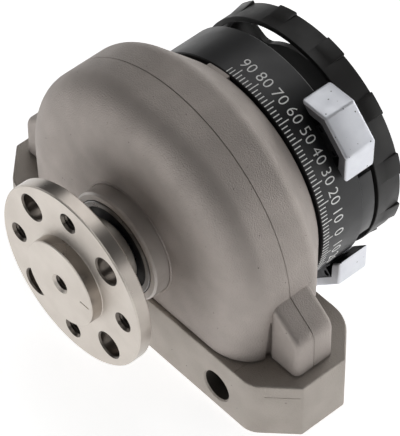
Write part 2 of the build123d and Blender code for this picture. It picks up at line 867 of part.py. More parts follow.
# Stator block with a groove for its seal and two pin holes
with BuildPart() as stator_segment:
    with BuildSketch(station(chamber_front)):
        sector(stator_inner_radius, chamber_radius - slip_fit, stator_angle, stator_half_angle)
        with Locations((0, -chamber_floor / 2)):
            Rectangle(2 * chamber_radius, chamber_floor, mode=Mode.INTERSECT)
        with Locations((0, -(vane_hub_radius + stator_groove_bottom) / 2)):
            groove_height = stator_groove_bottom - vane_hub_radius
            Rectangle(stator_seal_width + 2 * slip_fit, groove_height, mode=Mode.SUBTRACT)
        with Locations(*stator_pin_places):
            Circle(stator_pin_radius + slip_fit, mode=Mode.SUBTRACT)
    extrude(amount=-chamber_length)
finish_part(stator_segment.part, "stator_segment")

with BuildPart() as stator_seal:
    seal_top = vane_hub_radius + running_gap
    with BuildSketch(station(chamber_front)):
        with Locations((0, -(seal_top + stator_groove_bottom) / 2)):
            Rectangle(stator_seal_width, stator_groove_bottom - seal_top)
    extrude(amount=-chamber_length)
finish_part(stator_seal.part, "stator_seal")

with BuildPart() as stator_pins:
    with BuildSketch(station(chamber_front - stator_pin_bite + casting_gap)):
        with Locations(*stator_pin_places):
            Circle(stator_pin_radius)
    extrude(amount=-(chamber_length + 2 * stator_pin_bite - 2 * casting_gap))
finish_part(stator_pins.part, "stator_pins")

guard_screw_angles = (bridge_angle - guard_screw_spread, bridge_angle + guard_screw_spread)
guard_screw_places = [polar(guard_screw_pitch_radius, angle) for angle in guard_screw_angles]

# Scale drum: a cup screwed to the rear housing, with the bridge behind its rear edge
with BuildPart() as scale_drum:
    with BuildSketch(Plane.XY) as cup:
        Polygon(
            (drum_bore_radius, housing_rear),
            (drum_seat_radius, housing_rear),
            (drum_seat_radius, drum_front),
            (drum_radius, drum_front),
            (drum_radius, drum_rear),
            (drum_radius - drum_wall, drum_rear),
            (drum_radius - drum_wall, housing_rear + drum_web),
            (drum_bore_radius, housing_rear + drum_web),
            align=None,
        )
        chamfer(cup.vertices().group_by(Axis.X)[-1], drum_edge_chamfer)
    revolve(axis=Axis.Y)
    with BuildSketch(station(drum_rear - bridge_root)):
        sector(bridge_inner_radius, bridge_radius, bridge_angle, bridge_half_angle)
    extrude(amount=-(bridge_root + bridge_length))
    with BuildSketch(station(bridge_rear - bridge_step)):
        sector(bridge_step_radius, guard_radius, bridge_angle, 2 * bridge_half_angle)
    extrude(amount=-bridge_step, mode=Mode.SUBTRACT)
    with Locations(rear_station(housing_rear + drum_web)):
        with PolarLocations(drum_screw_pitch_radius, drum_screw_count, start_angle=drum_screw_start_angle):
            Hole(drum_screw_radius + slip_fit, depth=drum_web)
    with BuildSketch(station(bridge_rear)):
        with Locations(*guard_screw_places):
            Circle(guard_screw_radius + slip_fit)
    guard_tap_depth = guard_screw_length + guard_screw_head_length - guard_length + blind_gap
    extrude(amount=guard_tap_depth, mode=Mode.SUBTRACT)
finish_part(scale_drum.part, "scale_drum")

with BuildPart() as drum_screws:
    for index in range(drum_screw_count):
        angle = drum_screw_start_angle + index * 360 / drum_screw_count
        (screw_x, screw_z) = polar(drum_screw_pitch_radius, angle)
        seat = shifted(rear_station(housing_rear + drum_web), screw_x, screw_z)
        cap_screw(
            seat,
            drum_screw_radius,
            drum_screw_length,
            drum_screw_head_radius,
            drum_screw_head_length,
        )
finish_part(drum_screws.part, "drum_screws")

# Rear guard: a rim with twelve pads, a web with four windows, and a thick part at the bridge
with BuildPart() as rear_guard:
    tube(guard_radius - guard_rim, guard_radius, bridge_rear, guard_rear)
    with BuildSketch(station(guard_web_front)):
        Circle(guard_radius)
        Circle(guard_bore_radius, mode=Mode.SUBTRACT)
    extrude(amount=-guard_web)
    for index in range(window_count):
        with BuildSketch(station(guard_web_front)) as window:
            angle = window_start_angle + index * 360 / window_count
            sector(window_inner_radius, window_outer_radius, angle, window_half_angle)
            fillet(window.vertices(), window_rounding)
        extrude(amount=-guard_web, mode=Mode.SUBTRACT)
    with BuildSketch(station(bridge_rear)):
        sector(bridge_inner_radius, guard_radius - guard_rim / 2, bridge_angle, bridge_half_angle)
    extrude(amount=-guard_length)
    with BuildSketch(station(guard_rear - guard_pad_length)):
        for index in range(guard_pad_count):
            angle = guard_pad_start_angle + index * 360 / guard_pad_count
            sector(guard_radius - guard_rim / 2, guard_pad_radius, angle, guard_pad_half_angle)
    extrude(amount=-guard_pad_length)
    with Locations(rear_station(guard_rear)):
        with Locations(*[(-x, z) for (x, z) in guard_screw_places]):
            CounterBoreHole(
                guard_screw_radius + slip_fit,
                guard_screw_head_radius + casting_gap,
                guard_screw_head_length,
                depth=guard_length,
            )
finish_part(rear_guard.part, "rear_guard")

with BuildPart() as guard_screws:
    for (screw_x, screw_z) in guard_screw_places:
        seat = shifted(rear_station(guard_rear - guard_screw_head_length), -screw_x, screw_z)
        cap_screw(
            seat,
            guard_screw_radius,
            guard_screw_length,
            guard_screw_head_radius,
            guard_screw_head_length,
        )
finish_part(guard_screws.part, "guard_screws")

# Stop lever: a keyed hub and an arm whose tip strikes the legs of the stops
with BuildPart() as stop_lever:
    tube(0, lever_hub_radius, housing_rear, lever_rear)
    with BuildSketch(turned_station(lever_rear - lever_thickness, lever_angle)):
        Polygon(
            (0, -lever_root_half_width),
            (lever_tip_start, -lever_neck_half_width),
            (lever_tip_start, lever_neck_half_width),
            (0, lever_root_half_width),
            align=None,
        )
        sector(lever_tip_root, lever_reach, 0, lever_tip_half_angle)
    extrude(amount=-lever_thickness)
    bore(rear_journal_radius + slip_fit, housing_rear, lever_rear)
    with BuildSketch(turned_station(housing_rear, lever_angle)):
        with Locations((lever_key_outer_radius / 2, 0)):
            Rectangle(lever_key_outer_radius, lever_key_width)
    extrude(amount=housing_rear - lever_rear, mode=Mode.SUBTRACT)
finish_part(stop_lever.part, "stop_lever")

with BuildPart() as lever_key:
    with BuildSketch(turned_station(lever_key_front, lever_angle)):
        with Locations((lever_key_middle, 0)):
            Rectangle(lever_key_outer_radius - lever_key_inner_radius, lever_key_width)
    extrude(amount=-lever_key_length)
finish_part(lever_key.part, "lever_key")

with BuildPart() as lever_washer:
    washer_rear = lever_rear + lever_washer_thickness
    tube(lever_screw_radius + casting_gap, lever_washer_radius, lever_rear, washer_rear)
    chamfer(lever_washer.edges().group_by(Axis.Y)[-1], lever_washer_chamfer)
finish_part(lever_washer.part, "lever_washer")

with BuildPart() as lever_screw:
    cap_screw(
        rear_station(lever_rear + lever_washer_thickness),
        lever_screw_radius,
        lever_screw_length,
        lever_screw_head_radius,
        lever_screw_head_length,
    )
finish_part(lever_screw.part, "lever_screw")


def stop_outline(inset):
    """Half octagon of a stop, drawn in by the inset, down to the foot radius."""
    corner_slip = inset * tan(radians(22.5))
    slope_slip = inset * sqrt(2)
    Polygon(
        (stop_foot_radius, -stop_foot_half_width + slope_slip),
        (stop_crown_radius - inset, -stop_crown_half_width + corner_slip),
        (stop_crown_radius - inset, stop_crown_half_width - corner_slip),
        (stop_foot_radius, stop_foot_half_width - slope_slip),
        align=None,
    )


def adjustable_stop(name, angle, striking_side):
    """Cap with its leg, clamp jaw, clamp screws and rubber buffer, written as four pieces."""
    with BuildPart() as cap:
        with BuildSketch(turned_station(stop_front, angle)):
            stop_outline(0)
            Circle(drum_clear_radius, mode=Mode.SUBTRACT)
        extrude(amount=stop_front - stop_rear)
        with BuildSketch(turned_station(stop_front, angle)):
            stop_outline(stop_wall)
        extrude(amount=stop_front - leg_front, mode=Mode.SUBTRACT)
        with BuildSketch(turned_station(leg_front, angle)):
            sector(leg_inner_radius, drum_clear_radius + stop_wall, 0, leg_half_angle)
        extrude(amount=-stop_back_wall)
        screw_places = [(stop_screw_reach, stop_screw_spread), (stop_screw_reach, -stop_screw_spread)]
        with BuildSketch(turned_station(leg_front, angle)):
            with Locations(*screw_places):
                Circle(stop_screw_radius + slip_fit)
        extrude(amount=-stop_back_wall, mode=Mode.SUBTRACT)
        with BuildSketch(turned_station(stop_rear - stop_screw_head_length, angle)):
            with Locations(*screw_places):
                Circle(stop_screw_head_radius + slip_fit)
        extrude(amount=-stop_screw_head_length, mode=Mode.SUBTRACT)
    with BuildPart() as jaw:
        with BuildSketch(turned_station(stop_front, angle)):
            sector(drum_clear_radius, drum_clear_radius + jaw_thickness, 0, jaw_half_angle)
            block_height = jaw_block_top - drum_clear_radius
            with Locations((jaw_block_top - block_height / 2, 0)):
                Rectangle(block_height, 2 * jaw_block_half_width)
            Circle(drum_clear_radius, mode=Mode.SUBTRACT)
            with Locations(*screw_places):
                Circle(stop_screw_radius + slip_fit, mode=Mode.SUBTRACT)
        extrude(amount=stop_front - leg_front + casting_gap)
    with BuildPart() as screws:
        for (radial, sideways) in screw_places:
            head_plane = turned_station(stop_rear - stop_screw_head_length, angle)
            seat = shifted(head_plane, radial, sideways)
            with BuildSketch(seat):
                Circle(stop_screw_head_radius)
            extrude(amount=-stop_screw_head_length)
            with BuildSketch(seat):
                Circle(stop_screw_radius)
            extrude(amount=stop_screw_length)
            with BuildSketch(seat.offset(-stop_screw_head_length)):
                RegularPolygon(stop_screw_head_radius / 2, 6)
            extrude(amount=stop_screw_head_length / 2, mode=Mode.SUBTRACT)
    with BuildPart() as buffer:
        pad_middle = striking_side * (leg_half_angle + buffer_angle / 2)
        with BuildSketch(turned_station(leg_front + buffer_edge, angle)):
            sector(buffer_inner_radius, buffer_outer_radius, pad_middle, buffer_angle / 2)
        extrude(amount=-(stop_back_wall - 2 * buffer_edge))
    finish_part(cap.part, name)
    finish_part(jaw.part, f"{name}_jaw")
    finish_part(screws.part, f"{name}_screws")
    finish_part(buffer.part, f"{name}_buffer")


adjustable_stop("upper_stop", upper_stop_angle, 1)
adjustable_stop("lower_stop", lower_stop_angle, -1)
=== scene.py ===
"""Studio scene of a pneumatic rotary actuator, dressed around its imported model.

Sizes are in millimetres in the model's own frame and become metres when a mesh is made. The shaft runs
along Y, the output flange faces -Y, and a scale angle counts from +X towards +Z.
"""

import logging
import math
from dataclasses import dataclass
from enum import Enum
from typing import Callable, Sequence

import bpy
from mathutils import Matrix, Vector

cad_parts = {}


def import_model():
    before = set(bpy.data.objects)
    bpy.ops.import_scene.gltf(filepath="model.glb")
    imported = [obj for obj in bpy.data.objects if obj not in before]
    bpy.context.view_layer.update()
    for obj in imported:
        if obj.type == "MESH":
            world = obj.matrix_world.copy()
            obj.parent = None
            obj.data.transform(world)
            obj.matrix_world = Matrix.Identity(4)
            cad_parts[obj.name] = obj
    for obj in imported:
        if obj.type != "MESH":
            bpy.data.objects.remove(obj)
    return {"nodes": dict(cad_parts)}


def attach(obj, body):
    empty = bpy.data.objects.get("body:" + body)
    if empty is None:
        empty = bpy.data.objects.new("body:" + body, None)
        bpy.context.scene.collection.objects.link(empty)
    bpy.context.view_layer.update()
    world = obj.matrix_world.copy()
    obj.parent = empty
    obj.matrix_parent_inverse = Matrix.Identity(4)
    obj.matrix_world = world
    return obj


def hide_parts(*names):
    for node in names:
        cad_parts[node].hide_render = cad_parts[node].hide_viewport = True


logging.basicConfig(level=logging.INFO, format="%(message)s")
LOG = logging.getLogger("actuator")

MM = 0.001
SHAFT_AXIS = (0.0, 1.0, 0.0)
IMAGE_SIZE = (400, 436)
SENSOR_WIDTH = 36.0

# Steps of a full turn, from the outlines of the wheels down to the smallest tools.
DRUM_STEPS = 192
LATHE_STEPS = 144
BORE_STEPS = 96
LONG_HOLE_STEPS = 64
PLAIN_HOLE_STEPS = 48
HOLE_STEPS = 40
DRILL_STEPS = 32

# Steps of the dome's arch, and points of a disc that is cut flat at the bottom.
ARCH_STEPS = 93
DISC_POINTS = 97

# Edges over this many degrees stay crisp.
CRISP_ANGLE = 32.0

# A cutting tool passes the face that it opens by OVERSHOOT. OUTSIDE is beyond every point of the actuator.
OVERSHOOT = 1.0
OUTSIDE = 70.0

Point = tuple[float, float]
Place = tuple[float, float, float]
Corner = tuple[float, float, float]
Colour = tuple[int, int, int]
Piece = bpy.types.Object
Tree = bpy.types.NodeTree
Socket = bpy.types.NodeSocket


class Draft(Enum):
    """The plane that an outline is drawn on: its two axes, and the axis across it."""

    ACROSS = (0, 2, 1)
    PLAN = (0, 1, 2)


def arc(centre: Point, radii: Point, start: float, end: float, count: int) -> list[Point]:
    """Samples an elliptical arc.

    Args:
        centre: Middle of the ellipse.
        radii: Half axes along the two coordinates.
        start: First angle in degrees.
        end: Last angle in degrees.
        count: Number of points, both ends included.

    Returns:
        Points along the arc.
    """
    points = []
    for index in range(count):
        angle = math.radians(start + (end - start) * index / (count - 1))
        points.append((centre[0] + radii[0] * math.cos(angle), centre[1] + radii[1] * math.sin(angle)))
    return points


def rounded(corners: Sequence[Corner], facets: int = 4) -> list[Point]:
    """Rounds the corners of a closed outline.

    Args:
        corners: Corner points, each with its rounding radius.
        facets: Straight steps in each rounding.

    Returns:
        The outline's points in order.
    """
    points = []
    for index, (x, y, radius) in enumerate(corners):
        if radius <= 0:
            points.append((x, y))
            continue
        here = Vector((x, y))
        before = (Vector(corners[index - 1][:2]) - here).normalized()
        after = (Vector(corners[(index + 1) % len(corners)][:2]) - here).normalized()
        half = before.angle(after) / 2
        reach = radius / math.tan(half)
        middle = here + (before + after).normalized() * radius / math.sin(half)
        first = here + before * reach - middle
        last = here + after * reach - middle
        turn = first.angle_signed(last)
        for step in range(facets + 1):
            share = turn * step / facets
            spoke = Matrix.Rotation(-share, 2) @ first
            points.append(tuple(middle + spoke))
    return points


def ring_sector(inner: float, outer: float, middle: float, half: float, count: int = 9) -> list[Point]:
    """Draws the outline of a ring sector about the shaft.

    Args:
        inner: Inner radius.
        outer: Outer radius.
        middle: Scale angle of its middle.
        half: Degrees to each side.
        count: Points along each arc.

    Returns:
        Closed outline as X and Z.
    """
    far = arc((0, 0), (outer, outer), middle - half, middle + half, count)
    near = arc((0, 0), (inner, inner), middle + half, middle - half, count)
    return far + near


class Bench:
    """The workshop operations that the pieces are made with."""

    @staticmethod
    def clear() -> None:
        """Leaves edit mode and deselects everything."""
        if bpy.context.object is not None and bpy.context.object.mode != "OBJECT":
            bpy.ops.object.mode_set(mode="OBJECT")
        bpy.ops.object.select_all(action="DESELECT")

    @staticmethod
    def pick(piece: Piece) -> None:
        """Selects one piece and makes it active.

        Args:
            piece: The piece.
        """
        Bench.clear()
        piece.select_set(True)
        bpy.context.view_layer.objects.active = piece

    @staticmethod
    def trace(
        name: str, outline: Sequence[Point], draft: Draft, level: float = 0.0, closed: bool = True
    ) -> Piece:
        """Draws a wire by extruding one vertex from point to point.

        Args:
            name: Name of the new piece.
            outline: Points of the wire.
            draft: Plane that it is drawn on.
            level: Height of that plane along its third axis.
            closed: Whether the wire returns to its first point.

        Returns:
            The piece, left in edit mode with everything selected.
        """
        Bench.clear()
        first_axis, second_axis, level_axis = draft.value
        route = []
        for across, along in outline:
            place = Vector((0.0, 0.0, 0.0))
            place[first_axis] = across * MM
            place[second_axis] = along * MM
            place[level_axis] = level * MM
            route.append(place)
        if closed:
            route.append(route[0])
        bpy.ops.mesh.primitive_plane_add(size=MM, location=route[0])
        piece = bpy.context.object
        piece.name = name
        piece.data.name = name
        bpy.ops.object.transform_apply(location=True, rotation=True, scale=True)
        bpy.ops.object.mode_set(mode="EDIT")
        bpy.ops.mesh.select_mode(type="VERT")
        bpy.ops.mesh.select_all(action="SELECT")
        bpy.ops.mesh.merge(type="CENTER")
        for start, end in zip(route, route[1:]):
            bpy.ops.mesh.extrude_region_move(TRANSFORM_OT_translate={"value": tuple(end - start)})
        bpy.ops.mesh.select_all(action="SELECT")
        bpy.ops.mesh.remove_doubles(threshold=1e-7)
        return piece

    @staticmethod
    def lathe(name: str, outline: Sequence[Point], closed: bool = True, steps: int = LATHE_STEPS) -> Piece:
        """Spins an outline about the shaft axis.

        Args:
            name: Name of the new piece.
            outline: Points as radius and Y.
            closed: False for an outline that starts and ends on the axis.
            steps: Number of steps in the full turn.

        Returns:
            The turned solid.
        """
        piece = Bench.trace(name, outline, Draft.PLAN, 0.0, closed)
        bpy.ops.mesh.spin(steps=steps, angle=2 * math.pi, center=(0, 0, 0), axis=SHAFT_AXIS)
        bpy.ops.mesh.select_all(action="SELECT")
        bpy.ops.mesh.remove_doubles(threshold=2e-6)
        bpy.ops.mesh.normals_make_consistent(inside=False)
        bpy.ops.object.mode_set(mode="OBJECT")
        return piece

    @staticmethod
    def plug(name: str, profile: Sequence[Point], steps: int = HOLE_STEPS) -> Piece:
        """Spins the profile of a solid tool, given as radius and Y, with both ends closed on the axis."""
        outline = [(0.0, profile[0][1]), *profile, (0.0, profile[-1][1])]
        return Bench.lathe(name, outline, closed=False, steps=steps)

    @staticmethod
    def horseshoe(name: str, outline: Sequence[Point], draft: float, floor: float) -> Piece:
        """Lofts a dome whose sections are arcs over the top, with drafted flanks down to a flat bottom.

        Args:
            name: Name of the new piece.
            outline: Half section as radius and Y, without points on the axis.
            draft: Draft of the flanks in degrees, which is also how far each arc passes the level.
            floor: Level of the flat bottom, below the axis.

        Returns:
            The closed solid.
        """
        slope = math.radians(draft)
        reach, station = outline[0]
        # The flanks run well past the floor, where the bisection below cuts them off.
        travel = 2.5 * reach
        across = reach * math.cos(slope) - travel * math.sin(slope)
        deep = -reach * math.sin(slope) - travel * math.cos(slope)
        over = arc((0, 0), (reach, reach), -draft, 180 + draft, ARCH_STEPS + 1)
        piece = Bench.trace(name, [(across, deep)] + over + [(-across, deep)], Draft.ACROSS, station)
        bpy.ops.mesh.edge_face_add()
        for next_reach, next_station in outline[1:]:
            step = (0.0, (next_station - station) * MM, 0.0)
            bpy.ops.mesh.extrude_region_move(TRANSFORM_OT_translate={"value": step})
            growth = next_reach / reach
            bpy.ops.transform.resize(value=(growth, 1.0, growth), center_override=(0.0, 0.0, 0.0))
            reach, station = next_reach, next_station
        bpy.ops.mesh.select_all(action="SELECT")
        bpy.ops.mesh.bisect(
            plane_co=(0.0, 0.0, floor * MM), plane_no=(0.0, 0.0, -1.0), use_fill=True, clear_outer=True
        )
        bpy.ops.mesh.select_all(action="SELECT")
        bpy.ops.mesh.remove_doubles(threshold=1e-6)
        bpy.ops.mesh.normals_make_consistent(inside=False)
        bpy.ops.object.mode_set(mode="OBJECT")
        return piece

    @staticmethod
    def slab(name: str, outline: Sequence[Point], draft: Draft, start: float, end: float) -> Piece:
        """Fills an outline and extrudes it along its third axis.

        Args:
            name: Name of the new piece.
            outline: Closed outline.
            draft: Plane that it is drawn on.
            start: Level of its first face.
            end: Level of its last face.

        Returns:
            The prism.
        """
        piece = Bench.trace(name, outline, draft, start)
        bpy.ops.mesh.edge_face_add()
        depth = Vector((0.0, 0.0, 0.0))
        depth[draft.value[2]] = (end - start) * MM
        bpy.ops.mesh.extrude_region_move(TRANSFORM_OT_translate={"value": tuple(depth)})
        bpy.ops.mesh.select_all(action="SELECT")
        bpy.ops.mesh.normals_make_consistent(inside=False)
        bpy.ops.object.mode_set(mode="OBJECT")
        return piece

    @staticmethod
    def flat_disc(name: str, radius: float, floor: float, start: float, end: float) -> Piece:
        """Makes a disc about the shaft, cut flat at the bottom.

        Args:
            name: Name of the new piece.
            radius: Radius of the disc.
            floor: How far below the axis it is cut.
            start: Station of its first face.
            end: Station of its last face.

        Returns:
            The disc.
        """
        low = math.degrees(math.asin(floor / radius))
        outline = arc((0, 0), (radius, radius), -low, 180 + low, DISC_POINTS)
        return Bench.slab(name, outline, Draft.ACROSS, start, end)

    @staticmethod
    def combine(target: Piece, tool: Piece, operation: str) -> None:
        """Applies a boolean of one piece to another and removes the tool.

        Args:
            target: Piece that is kept.
            tool: Piece that is used up.
            operation: UNION, DIFFERENCE or INTERSECT.
        """
        Bench.pick(target)
        bpy.ops.object.modifier_add(type="BOOLEAN")
        modifier = target.modifiers[-1]
        modifier.operation = operation
        modifier.solver = "EXACT"
        modifier.object = tool
        bpy.ops.object.modifier_apply(modifier=modifier.name)
        bpy.data.objects.remove(tool)

    @staticmethod
    def gather(name: str, pieces: Sequence[Piece]) -> Piece:
        """Joins several pieces into one object.

        Args:
            name: Name of the result.
            pieces: Pieces to join.

        Returns:
            The joined object.
        """
        Bench.pick(pieces[0])
        for piece in pieces:
            piece.select_set(True)
        bpy.ops.object.join()
        pieces[0].name = name
        pieces[0].data.name = name
        return pieces[0]

    @staticmethod
    def soften(piece: Piece, width: float, segments: int = 3, angle: float = 40.0) -> None:
        """Rounds the sharp edges of a piece.

        Args:
            piece: Piece to round.
            width: Width of the rounding.
            segments: Steps in the rounding.
            angle: Only edges sharper than this many degrees are rounded.
        """
        Bench.pick(piece)
        bpy.ops.object.modifier_add(type="BEVEL")
        modifier = piece.modifiers[-1]
        modifier.width = width * MM
        modifier.segments = segments
        modifier.limit_method = "ANGLE"
        modifier.angle_limit = math.radians(angle)
        modifier.use_clamp_overlap = True
        bpy.ops.object.modifier_apply(modifier=modifier.name)

    @staticmethod
    def weld(piece: Piece) -> None:
        """Merges the doubled points that cuts leave behind and turns every face outwards.

        Args:
            piece: The piece.
        """
        Bench.pick(piece)
        bpy.ops.object.mode_set(mode="EDIT")
        bpy.ops.mesh.select_mode(type="VERT")
        bpy.ops.mesh.select_all(action="SELECT")
        bpy.ops.mesh.remove_doubles(threshold=2e-6)
        bpy.ops.mesh.dissolve_degenerate(threshold=2e-6)
        bpy.ops.mesh.select_all(action="SELECT")
        bpy.ops.mesh.fill_holes(sides=8)
        bpy.ops.mesh.select_all(action="SELECT")
        bpy.ops.mesh.normals_make_consistent(inside=False)
        bpy.ops.object.mode_set(mode="OBJECT")

    @staticmethod
    def shade(piece: Piece) -> None:
        """Shades a piece smooth, except over its crisp edges."""
        Bench.pick(piece)
        bpy.ops.object.shade_smooth_by_angle(angle=math.radians(CRISP_ANGLE))

    @staticmethod
    def turn(piece: Piece, scale_angle: float) -> None:
        """Turns a piece about the shaft by a scale angle in degrees."""
        piece.data.transform(Matrix.Rotation(-math.radians(scale_angle), 4, "Y"))

    @staticmethod
    def move(piece: Piece, x: float, y: float, z: float) -> None:
        """Moves a piece's mesh by millimetres."""
        piece.data.transform(Matrix.Translation(Vector((x, y, z)) * MM))


def thread_cutter(
    name: str, mouth: float, depth: float, core: float, pitch: float, chamfer: float, closed_end: bool
) -> Piece:
    """Makes the tool that cuts a countersunk thread along +Y, on the shaft axis.

    Args:
        name: Name of the tool.
        mouth: Y of the hole's mouth.
        depth: Depth of the thread.
        core: Core radius.
        pitch: Distance from crest to crest.
        chamfer: Width of the countersink.
        closed_end: Whether the hole is blind, so that the tool stops at the depth.

    Returns:
        The tool.
    """
    reach = 0.4
    groove = core + pitch * 0.45
    profile = [(core + chamfer + reach, mouth - reach), (core, mouth + chamfer)]
    for index in range(int((depth - chamfer) / pitch)):
        start = mouth + chamfer + index * pitch
        profile += [(groove, start + pitch * 0.5), (core, start + pitch)]
    profile.append((core, mouth + depth + (0.0 if closed_end else reach)))
    return Bench.plug(name, profile)


# Ranges of the noise that show as patches, as gloss and as chosen pits.
PATCH_BAND = (0.35, 0.65)
GLOSS_BAND = (0.3, 0.7)
PIT_BAND = (0.55, 0.6)
# Softness of a pit's rim, spacing of the chosen ones, and how dark a pit is.
PIT_RIM = 1.7
PIT_CLUSTER = 1.3
PIT_SHADE = 0.35
# Depth of the relief as a share of its size.
GRAIN_DEPTH = 0.5
RING_DEPTH = 0.25


@dataclass(frozen=True)
class Finish:
    """A procedural surface finish. Lengths are in millimetres and colours are screen values.

    Args:
        name: Name of the material.
        colour: Main colour.
        shade: Second colour, which the mottling moves towards.
        metallic: Share of metal reflection.
        roughness: Middle roughness.
        roughness_spread: How far the roughness wanders to each side.
        mottle: Strength of the mottling.
        mottle_size: Size of its patches.
        grain: Strength of the fine relief.
        grain_size: Size of its grains.
        rings: Strength of turning marks round the shaft.
        ring_pitch: Distance between the turning marks.
        pits: Share of the surface taken by small dark pits.
        pit_size: Spacing of the pits.
        specular: Specular level.
    """

    name: str
    colour: Colour
    shade: Colour
    metallic: float = 0.0
    roughness: float = 0.5
    roughness_spread: float = 0.06
    mottle: float = 0.5
    mottle_size: float = 6.0
    grain: float = 0.1
    grain_size: float = 0.3
    rings: float = 0.0
    ring_pitch: float = 0.35
    pits: float = 0.0
    pit_size: float = 1.2
    specular: float = 0.5

    @staticmethod
    def linear(colour: Colour) -> tuple[float, float, float, float]:
        """Turns a screen colour into the linear one that the shader takes.

        Args:
            colour: Red, green and blue from 0 to 255.

        Returns:
            The linear colour, with full opacity.
        """
        values = []
        for channel in colour:
            share = channel / 255
            values.append(share / 12.92 if share <= 0.04045 else ((share + 0.055) / 1.055) ** 2.4)
        return (values[0], values[1], values[2], 1.0)

    def material(self) -> bpy.types.Material:
        """Builds the node material, or returns it where it was built before.

        Returns:
            The material.
        """
        known = bpy.data.materials.get(self.name)
        if known is not None:
            return known
        material = bpy.data.materials.new(self.name)
        material.use_nodes = True
        tree = material.node_tree
        nodes, links = tree.nodes, tree.links
        shader = nodes["Principled BSDF"]
        shader.inputs["Metallic"].default_value = self.metallic
        shader.inputs["Specular IOR Level"].default_value = self.specular
        place = nodes.new("ShaderNodeTexCoord").outputs["Object"]

        patches = self.noise(tree, place, self.mottle_size, 3.0)
        patch_range = self.spread(tree, patches, PATCH_BAND, (0.0, self.mottle))
        mix = nodes.new("ShaderNodeMix")
        mix.data_type = "RGBA"
        mix.inputs["A"].default_value = self.linear(self.colour)
        mix.inputs["B"].default_value = self.linear(self.shade)
        links.new(patch_range, mix.inputs["Factor"])
        colour = mix.outputs["Result"]

        relief = self.noise(tree, place, self.grain_size, 2.0)
        if self.pits > 0:
            cells = nodes.new("ShaderNodeTexVoronoi")
            cells.inputs["Scale"].default_value = 1 / (self.pit_size * MM)
            links.new(place, cells.inputs["Vector"])
            rim = (self.pits, self.pits * PIT_RIM)
            hole = self.spread(tree, cells.outputs["Distance"], rim, (1.0, 0.0))
            chosen = self.noise(tree, place, self.pit_size * PIT_CLUSTER, 1.0)
            chosen = self.spread(tree, chosen, PIT_BAND, (0.0, 1.0))
            both = nodes.new("ShaderNodeMath")
            both.operation = "MULTIPLY"
            links.new(hole, both.inputs[0])
            links.new(chosen, both.inputs[1])
            stain = nodes.new("ShaderNodeMix")
            stain.data_type = "RGBA"
            dark = tuple(int(value * PIT_SHADE) for value in self.shade)
            stain.inputs["B"].default_value = self.linear(dark)
            links.new(both.outputs["Value"], stain.inputs["Factor"])
            links.new(colour, stain.inputs["A"])
            colour = stain.outputs["Result"]
        links.new(colour, shader.inputs["Base Color"])

        sheen = (self.roughness - self.roughness_spread, self.roughness + self.roughness_spread)
        gloss = self.spread(tree, patches, GLOSS_BAND, sheen)
        links.new(gloss, shader.inputs["Roughness"])

        bump = nodes.new("ShaderNodeBump")
        bump.inputs["Strength"].default_value = self.grain
        bump.inputs["Distance"].default_value = self.grain_size * MM * GRAIN_DEPTH
        links.new(relief, bump.inputs["Height"])
        if self.rings > 0:
            turned = nodes.new("ShaderNodeBump")
            turned.inputs["Strength"].default_value = self.rings
            turned.inputs["Distance"].default_value = self.ring_pitch * MM * RING_DEPTH
            links.new(self.turning(tree, place), turned.inputs["Height"])
            links.new(bump.outputs["Normal"], turned.inputs["Normal"])
            bump = turned
        links.new(bump.outputs["Normal"], shader.inputs["Normal"])
        return material

    @staticmethod
    def noise(tree: Tree, place: Socket, size: float, detail: float) -> Socket:
        """Adds a noise.

        Args:
            tree: The material's nodes.
            place: Where the noise takes its coordinates from.
            size: Size of its patches in millimetres.
            detail: Number of finer layers.

        Returns:
            The noise between 0 and 1.
        """
        node = tree.nodes.new("ShaderNodeTexNoise")
        node.inputs["Scale"].default_value = 1 / (size * MM)
        node.inputs["Detail"].default_value = detail
        tree.links.new(place, node.inputs["Vector"])
        return node.outputs["Fac"]

    @staticmethod
    def spread(tree: Tree, value: Socket, taken: Point, given: Point) -> Socket:
        """Maps a value from one range to another.

        Args:
            tree: The material's nodes.
            value: The value.
            taken: Range that it is taken from.
            given: Range that it goes to.

        Returns:
            The clamped result.
        """
        node = tree.nodes.new("ShaderNodeMapRange")
        node.inputs["From Min"].default_value, node.inputs["From Max"].default_value = taken
        node.inputs["To Min"].default_value, node.inputs["To Max"].default_value = given
        tree.links.new(value, node.inputs["Value"])
        return node.outputs["Result"]

    def turning(self, tree: Tree, place: Socket) -> Socket:
        """Adds rings by the distance from the shaft.

        Args:
            tree: The material's nodes.
            place: Where the rings take their coordinates from.

        Returns:
            The height of the rings.
        """
        flat = tree.nodes.new("ShaderNodeMapping")
        flat.inputs["Scale"].default_value = (1.0, 0.0, 1.0)
        length = tree.nodes.new("ShaderNodeVectorMath")
        length.operation = "LENGTH"
        scaled = tree.nodes.new("ShaderNodeMath")
        scaled.operation = "MULTIPLY"
        scaled.inputs[1].default_value = 2 * math.pi / (self.ring_pitch * MM)
        wave = tree.nodes.new("ShaderNodeMath")
        wave.operation = "SINE"
        tree.links.new(place, flat.inputs["Vector"])
        tree.links.new(flat.outputs["Vector"], length.inputs[0])
        tree.links.new(length.outputs["Value"], scaled.inputs[0])
        tree.links.new(scaled.outputs["Value"], wave.inputs[0])
        return wave.outputs["Value"]


